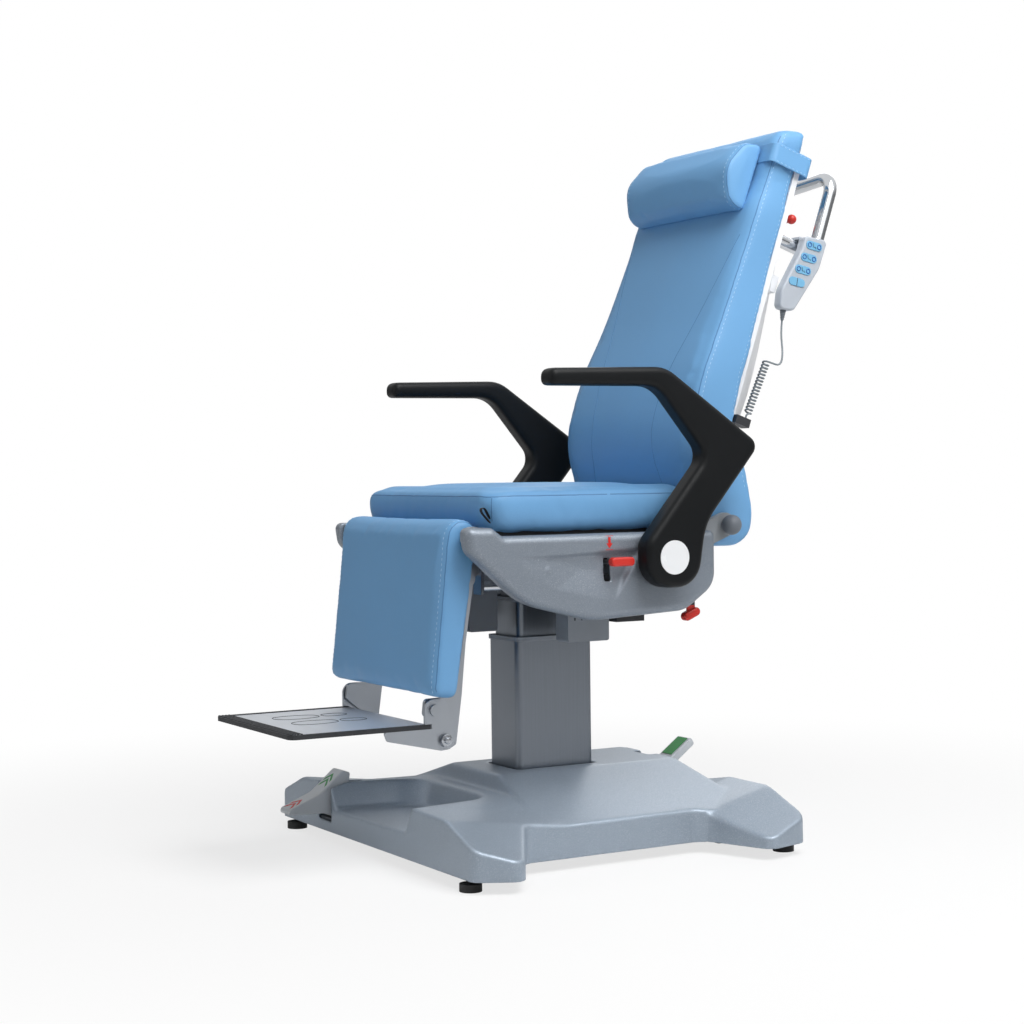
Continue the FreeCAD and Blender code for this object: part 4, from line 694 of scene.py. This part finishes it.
def stitching(name, host, guide, body):
    """A row of thread stitches lying on the cover along a guide line."""
    bpy.ops.object.select_all(action="DESELECT")
    bpy.ops.mesh.primitive_uv_sphere_add(segments=6, ring_count=4, radius=0.5)
    model = bpy.context.object
    shape = [vertex.co.copy() for vertex in model.data.vertices]
    sides = [tuple(polygon.vertices) for polygon in model.data.polygons]
    bpy.data.objects.remove(model)
    points = []
    faces = []
    for place, normal, heading in laid_on(host, guide, STITCH_PITCH):
        across = normal.cross(heading).normalized()
        first = len(points)
        for corner in shape:
            points.append(place + heading * corner.z * STITCH_LENGTH + across * corner.x * STITCH_WIDTH
                          + normal * (corner.y * STITCH_WIDTH * STITCH_FLATNESS + STITCH_LIFT))
        faces += [tuple(first + index for index in side) for side in sides]
    mesh = bpy.data.meshes.new(name)
    mesh.from_pydata(points, [], faces)
    piece = put(name, mesh)
    only(piece)
    bpy.ops.object.mode_set(mode="EDIT")
    bpy.ops.mesh.select_all(action="SELECT")
    bpy.ops.mesh.normals_make_consistent(inside=False)
    bpy.ops.object.mode_set(mode="OBJECT")
    bpy.ops.object.shade_smooth()
    dress(piece, body, "vinyl", thread)


LEG_SIDE = 0.2125
LEG_STITCH_INSET = 0.010
LEG_STITCH_AHEAD = 0.004
LEG_PROFILE = ((-0.243, 0.600), (-0.262, 0.607), (-0.285, 0.605), (-0.302, 0.590), (-0.309, 0.560),
               (-0.318, 0.470), (-0.327, 0.390), (-0.334, 0.318), (-0.331, 0.304))
thread = moulded("seam_thread", shade(176, 208, 236), 0.6, grain=0.0004, depth=0.0002)
bracket_steel = drawn_metal("bracket_steel", shade(168, 173, 180), 0.38, streaks=(200, 12, 12), spread=0.10)
clad(bracket_steel, "leg_frame")
clad(turned_steel, "leg_hinge_pins")
leg_pad = upholstered("leg_cushion", "leg_pad", "leg", ease=-0.002, cap=0.004, voxel=0.005)
for tag, sign in SIDES:
    face_edge = [Vector((sign * LEG_SIDE, y, z)) for y, z in LEG_PROFILE]
    seam("leg_seam_" + tag, leg_pad, face_edge, "leg")
    beside = [Vector((sign * (LEG_SIDE - LEG_STITCH_INSET), y - LEG_STITCH_AHEAD, z)) for y, z in LEG_PROFILE]
    stitching("leg_stitches_" + tag, leg_pad, beside, "leg")


# Foot rest: a steel sheet edged with a rubber profile, ribbed at its nose, with shoe prints printed on it.
# It hangs on two slotted brackets, each held by a zinc-plated hex bolt on a washer.
def ink_line(name, loops, radius, material, body, slot):
    """Closed printed lines, each a smooth loop half sunk in its face."""
    line = round_line(name, radius, rounding=1)
    for loop in loops:
        spline = add_run(line, "NURBS", loop)
        spline.order_u = 3
        spline.use_cyclic_u = True
        spline.resolution_u = 6
    dress(as_mesh(put(name, line)), body, slot, material)


HEX_CORNER = 0.577
HEX_CHAMFER = 0.12
HEAD_SEAT = 0.0012
WASHER_HALF = 0.95
WASHER_THICKNESS = 0.0016
WASHER_MIDDLE = 0.0006


def hex_bolt(name, place, outward, width, height, body):
    """Hexagon head with a chamfered rim on a washer."""
    turn = Vector((0, 0, 1)).rotation_difference(Vector(outward)).to_matrix().to_4x4()
    bpy.ops.object.select_all(action="DESELECT")
    bpy.ops.mesh.primitive_cylinder_add(vertices=6, radius=HEX_CORNER * width, depth=height,
                                        location=(0, 0, 0.5 * height + HEAD_SEAT))
    head = bpy.context.object
    modify(head, "BEVEL", width=HEX_CHAMFER * width, segments=2, limit_method="ANGLE")
    bpy.ops.object.select_all(action="DESELECT")
    bpy.ops.mesh.primitive_cylinder_add(vertices=28, radius=WASHER_HALF * width, depth=WASHER_THICKNESS,
                                        location=(0, 0, WASHER_MIDDLE))
    washer = bpy.context.object
    modify(washer, "BEVEL", width=0.0004, segments=2, limit_method="ANGLE")
    only(head)
    washer.select_set(True)
    bpy.ops.object.transform_apply(location=True, rotation=True, scale=True)
    bpy.ops.object.join()
    head.name = name
    head.data.transform(Matrix.Translation(place) @ turn)
    only(head)
    bpy.ops.object.shade_smooth_by_angle(angle=math.radians(35))
    dress(head, body, "bright_steel", bolt_zinc)


PLATE_TOP = 0.2515
PRINT_Y = -0.437
PRINT_MIDDLES = ((-0.072, 1), (0.014, -1))
SOLE = ((0.000, 0.075), (0.020, 0.068), (0.028, 0.040), (0.024, 0.008), (0.016, -0.012), (-0.012, -0.012),
        (-0.022, 0.008), (-0.026, 0.040), (-0.019, 0.068))
HEEL = ((0.016, -0.020), (0.020, -0.044), (0.012, -0.068), (-0.010, -0.068), (-0.018, -0.044), (-0.012, -0.020))
NOSE_TOP = 0.2530
NOSE_FRONT = -0.5790
NOSE_HALF = 0.163
RIB_PITCH = 0.0062
RIB_WIDTH = 0.0036
BOLT_SIDE = 0.1742
BOLT_Y = -0.292
BOLT_Z = 0.224
plate_steel = drawn_metal("foot_plate_steel", shade(224, 228, 234), 0.42, streaks=(8, 500, 500), spread=0.10)
edge_rubber = moulded("edge_rubber", shade(38, 40, 44), 0.6, grain=0.0008, depth=0.0002)
print_ink = moulded("print_ink", shade(58, 62, 68), 0.5, grain=0.0008, depth=0.0001)
bolt_zinc = drawn_metal("bolt_zinc", shade(176, 180, 186), 0.28, streaks=(300, 300, 300), spread=0.08)
clad(bracket_steel, "foot_brackets")
clad(plate_steel, "foot_plate")
clad(edge_rubber, "foot_edge")
prints = []
for middle, flip in PRINT_MIDDLES:
    for shape in (SOLE, HEEL):
        prints.append([(middle + flip * u, PRINT_Y - v, PLATE_TOP) for u, v in shape])
ink_line("shoe_prints", prints, 0.0008, print_ink, "foot", "sheet_metal")
ribs = []
for row in range(4):
    rib_y = NOSE_FRONT + RIB_PITCH * row
    ribs.append(panel(-NOSE_HALF, NOSE_HALF, rib_y, rib_y + RIB_WIDTH))
raised_mark("nose_ribs", ribs, Vector((0, 0, NOSE_TOP)), (1, 0, 0), (0, 1, 0), 0.0012, edge_rubber,
            "foot", "rubber_black")
for tag, sign in SIDES:
    bolt_place = Vector((sign * BOLT_SIDE, BOLT_Y, BOLT_Z))
    hex_bolt("bracket_bolt_" + tag, bolt_place, (sign, 0, 0), width=0.011, height=0.006, body="foot")

# Back frame, rear shell and push handle: welded flat bar, a white moulding and chromed tube.
# The hinge pins have grey ball caps, and a release lever with a red ball turns in the shell.
cap_grey = moulded("cap_grey", shade(104, 110, 118), 0.5, grain=0.0009, depth=0.0002)
shell_white = moulded("shell_white", shade(236, 238, 241), 0.38, grain=0.0010, depth=0.0001, spread=0.03)
chrome = drawn_metal("handle_chrome", shade(214, 217, 221), 0.09, streaks=(60, 60, 60), spread=0.05)
clad(frame_coat, "back_frame")
clad(cap_grey, "back_hinge_pins")
clad(shell_white, "back_shell", "back_board")
clad(chrome, "push_handle")
clad(gripped("release_lever_finish", "Y", edge=0.4930, beyond=True), "release_lever")

# Back cushion: one tall waisted pad, its face panel divided by two curved seams, its sides boxed in.
# Light thread runs beside the edge seams and again near the rear edge of each side.
BACK_EDGE = ((0.575, 0.226, 0.2175), (0.652, 0.207, 0.2235), (0.740, 0.194, 0.2225), (0.789, 0.199, 0.2205),
             (0.868, 0.224, 0.2185), (0.942, 0.259, 0.2135), (1.017, 0.293, 0.2095), (1.092, 0.325, 0.2085),
             (1.180, 0.359, 0.2085), (1.300, 0.407, 0.2085), (1.320, 0.420, 0.204))
BACK_REAR = ((0.652, 0.311), (0.740, 0.292), (0.789, 0.290), (0.868, 0.308), (0.942, 0.340), (1.017, 0.366),
             (1.092, 0.392), (1.180, 0.420), (1.285, 0.456))
BACK_SIDE = 0.222
INNER_SEAM = ((0.655, 0.118, 0.203), (0.700, 0.108, 0.196), (0.760, 0.104, 0.188), (0.830, 0.110, 0.203),
              (0.900, 0.124, 0.230), (0.980, 0.146, 0.268), (1.060, 0.168, 0.304), (1.130, 0.186, 0.336))
back_pad = upholstered("back_cushion", "back_pad", "back", ease=0.0005, cap=0.006, voxel=0.006)
for tag, sign in SIDES:
    edge = [Vector((sign * half, y, z)) for z, y, half in BACK_EDGE]
    seam("back_edge_seam_" + tag, back_pad, edge, "back")
    beside = [Vector((sign * (half + 0.002), y + 0.011, z)) for z, y, half in BACK_EDGE]
    stitching("back_edge_stitches_" + tag, back_pad, beside, "back")
    rear = [Vector((sign * BACK_SIDE, y, z)) for z, y in BACK_REAR]
    stitching("back_rear_stitches_" + tag, back_pad, rear, "back")
    inner = [Vector((sign * x, y, z)) for z, x, y in INNER_SEAM]
    seam("back_inner_seam_" + tag, back_pad, inner, "back", radius=0.0009)

# Head pillow: a half-round foam roll with sewn end caps, in the same fabric as the cushions.
# It sits on a hemmed band of that fabric, which goes round the back.
BACK_LEAN = math.radians(18.88)
BACK_FOOT_Y = 0.2886
BACK_FOOT_Z = 0.768
ROLL_OUTLINE = ((-0.067, 0.402), (-0.066, 0.470), (-0.066, 0.532), (-0.085, 0.534), (-0.104, 0.527),
                (-0.120, 0.508), (-0.130, 0.485), (-0.131, 0.460), (-0.124, 0.435), (-0.110, 0.414),
                (-0.090, 0.402), (-0.067, 0.402))
ROLL_SEAM_SIDE = 0.1735
ROLL_STITCH_SIDE = 0.163
BAND_SIDE = 0.214
BAND_DEPTHS = (-0.055, -0.020, 0.018)


def on_back(x, depth, height):
    """A point given across the back, behind its board's front face and up along it."""
    return Vector((x, BACK_FOOT_Y + depth * math.cos(BACK_LEAN) + height * math.sin(BACK_LEAN),
                   BACK_FOOT_Z - depth * math.sin(BACK_LEAN) + height * math.cos(BACK_LEAN)))


head_roll = upholstered("head_pillow", "head_roll", "back", ease=0.0005, cap=0.006, voxel=0.004)
strap = softened_copy("pillow_strap", "pillow_band", voxel=0.0011, passes=2, kept=0.25)
dress(strap, "back", "vinyl", blue_fabric, "pillow_strap")
for tag, sign in SIDES:
    cap_edge = [on_back(sign * ROLL_SEAM_SIDE, depth, height) for depth, height in ROLL_OUTLINE]
    seam("pillow_seam_" + tag, head_roll, cap_edge, "back")
    beside = [on_back(sign * ROLL_STITCH_SIDE, depth * 1.02, height) for depth, height in ROLL_OUTLINE[2:]]
    stitching("pillow_stitches_" + tag, head_roll, beside, "back")
    for edge_tag, level in (("low", 0.5035), ("high", 0.5345)):
        hem = [on_back(sign * BAND_SIDE, depth, level) for depth in BAND_DEPTHS]
        stitching("band_hem_%s_%s" % (edge_tag, tag), strap, hem, "back")

# Hand control: a waisted grey housing with soft blue rocker keys, hung by its hook on the handle's left foot.
# The upper keys have a ring at both ends and a plain seat sign between them, in raised print.
# The lowest key is parted into two halves by a groove, drawn as a thin dark line of painted shade.
KEY_FACE = 0.2086
KEY_PLACES = ((0.491, 1.107), (0.478, 1.084), (0.464, 1.061), (0.449, 1.038))
RING_OFFSET = 0.0112
RING_RADIUS = 0.0042
RING_POINTS = 10
SEAT_SIGN = ((-0.0048, 0.0048), (-0.0032, 0.0048), (-0.0018, -0.0014), (0.0030, -0.0014), (0.0052, -0.0048),
             (0.0034, -0.0048), (0.0020, -0.0030), (-0.0030, -0.0030))
housing_grey = moulded("housing_grey", shade(178, 185, 194), 0.40, grain=0.0009, depth=0.0001, spread=0.05)
key_blue = moulded("key_blue", shade(116, 176, 212), 0.45, grain=0.0006, depth=0.00005)
key_ring = moulded("key_ring_blue", shade(28, 86, 158), 0.4, grain=0.0006, depth=0.00005)
key_print_and_groove_shade = moulded("key_sign_grey", shade(52, 66, 88), 0.45, grain=0.0006, depth=0.00005)
clad(housing_grey, "hand_control")
clad(key_blue, "hand_key_1", "hand_key_2", "hand_key_3", "hand_key_4")
key_run = Vector((0, 0.0105, -0.002)).normalized()
key_rise = Vector((0, 0.002, 0.0105)).normalized()
for number, key_place in enumerate(KEY_PLACES[:3], start=1):
    key_middle = Vector((KEY_FACE, *key_place))
    loops = []
    for end in (-1, 1):
        centre = key_middle + key_run * end * RING_OFFSET
        loop = []
        for step in range(RING_POINTS):
            angle = 2 * math.pi * step / RING_POINTS
            loop.append(centre + (key_run * math.cos(angle) + key_rise * math.sin(angle)) * RING_RADIUS)
        loops.append(loop)
    ink_line("key_rings_%d" % number, loops, 0.0010, key_ring, "key_%d" % number, "key_blue")
    raised_mark("key_sign_%d" % number, [SEAT_SIGN], key_middle, key_run, key_rise, 0.0002, key_print_and_groove_shade,
                "key_%d" % number, "key_blue")
# The groove is a thin dark strip on the key's face: painted shade, in the same grey as the print.
raised_mark("key_groove", [panel(-0.0008, 0.0008, -0.0076, 0.0076)], Vector((KEY_FACE - 0.0001, *KEY_PLACES[3])),
            key_run, key_rise, 0.0002, key_print_and_groove_shade, "key_4", "key_blue")

# Cord of the hand control: a rubber-sheathed lead with a curly length, from its ribbed relief to the board's socket.
# The turns were wound on a mandrel and spring back, so they lie evenly beside each other.
CORD_RADIUS = 0.0018
COIL_RADIUS = 0.0062
COIL_TURNS = 16
POINTS_PER_TURN = 16
CORD_LEAD = ((0.1960, 0.42186, 0.96518), (0.1960, 0.41856, 0.94040), (0.21012, 0.41290, 0.90296),
             (0.2162, 0.40246, 0.87800), (0.2162, 0.37737, 0.88479))
COIL_AXIS = ((0.210, 0.37389, 0.88573), (0.210, 0.35178, 0.83778), (0.210, 0.32967, 0.78984))
CORD_EXIT = ((0.2162, 0.32240, 0.78700), (0.2162, 0.32097, 0.78289), (0.2162, 0.31980, 0.77948))
RELIEF_TOP = Vector((0.1960, 0.42450, 0.98493))
RELIEF_WIDE = 0.0055
RELIEF_NARROW = 0.0024
RELIEF_RIBS = 6
RIB_ROUND = 0.0009
FIRST_RIB = 0.10
NEXT_RIB = 0.15


def cord_line(name, points, radius):
    """A smooth open spline with these points as its control points."""
    line = round_line(name, radius, rounding=3)
    spline = add_run(line, "NURBS", points)
    spline.order_u = 3
    spline.use_endpoint_u = True
    spline.resolution_u = 4
    return put(name, line)


cord_sheath = moulded("cord_sheath", shade(122, 130, 136), 0.5, grain=0.0008, depth=0.0001)
relief_rubber = moulded("relief_rubber", shade(108, 115, 122), 0.55, grain=0.0006, depth=0.0001)
dark_socket = moulded("socket_plastic", shade(46, 48, 52), 0.45, grain=0.0008, depth=0.0001)
clad(relief_rubber, "strain_relief")
clad(dark_socket, "cord_socket")

axis_line = cord_line("coil_axis", COIL_AXIS, 0.0)
axis_mesh = bpy.data.meshes.new_from_object(axis_line)
axis_points = [vertex.co.copy() for vertex in axis_mesh.vertices]
bpy.data.objects.remove(axis_line)
along = (axis_points[-1] - axis_points[0]).normalized()
side = Vector((1, 0, 0))
other_side = along.cross(side)
helix = []
for step in range(COIL_TURNS * POINTS_PER_TURN + 1):
    turned = 2 * math.pi * step / POINTS_PER_TURN
    share = step / (COIL_TURNS * POINTS_PER_TURN) * (len(axis_points) - 1)
    before = min(int(share), len(axis_points) - 2)
    middle = axis_points[before].lerp(axis_points[before + 1], share - before)
    helix.append(middle + (side * math.cos(turned) + other_side * math.sin(turned)) * COIL_RADIUS)
hand_cord = cord_line("hand_cord", list(CORD_LEAD) + helix + list(CORD_EXIT), CORD_RADIUS)
hand_cord.data.materials.append(cord_sheath)
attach(hand_cord, "back")
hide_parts("cord_lead", "cord_coil")

relief_run = Vector(CORD_LEAD[0]) - RELIEF_TOP
relief_turn = relief_run.to_track_quat("Z", "Y").to_matrix().to_4x4()
rings = []
for rib in range(RELIEF_RIBS):
    share = FIRST_RIB + NEXT_RIB * rib
    bpy.ops.object.select_all(action="DESELECT")
    bpy.ops.mesh.primitive_torus_add(major_segments=28, minor_segments=8, minor_radius=RIB_ROUND,
                                     major_radius=RELIEF_WIDE + (RELIEF_NARROW - RELIEF_WIDE) * share)
    rings.append(bpy.context.object)
    rings[-1].data.transform(Matrix.Translation(RELIEF_TOP + relief_run * share) @ relief_turn)
only(rings[0])
for ring in rings:
    ring.select_set(True)
bpy.ops.object.join()
rings[0].name = "relief_ribs"
bpy.ops.object.shade_smooth()
dress(rings[0], "back", "cord_jacket", relief_rubber)
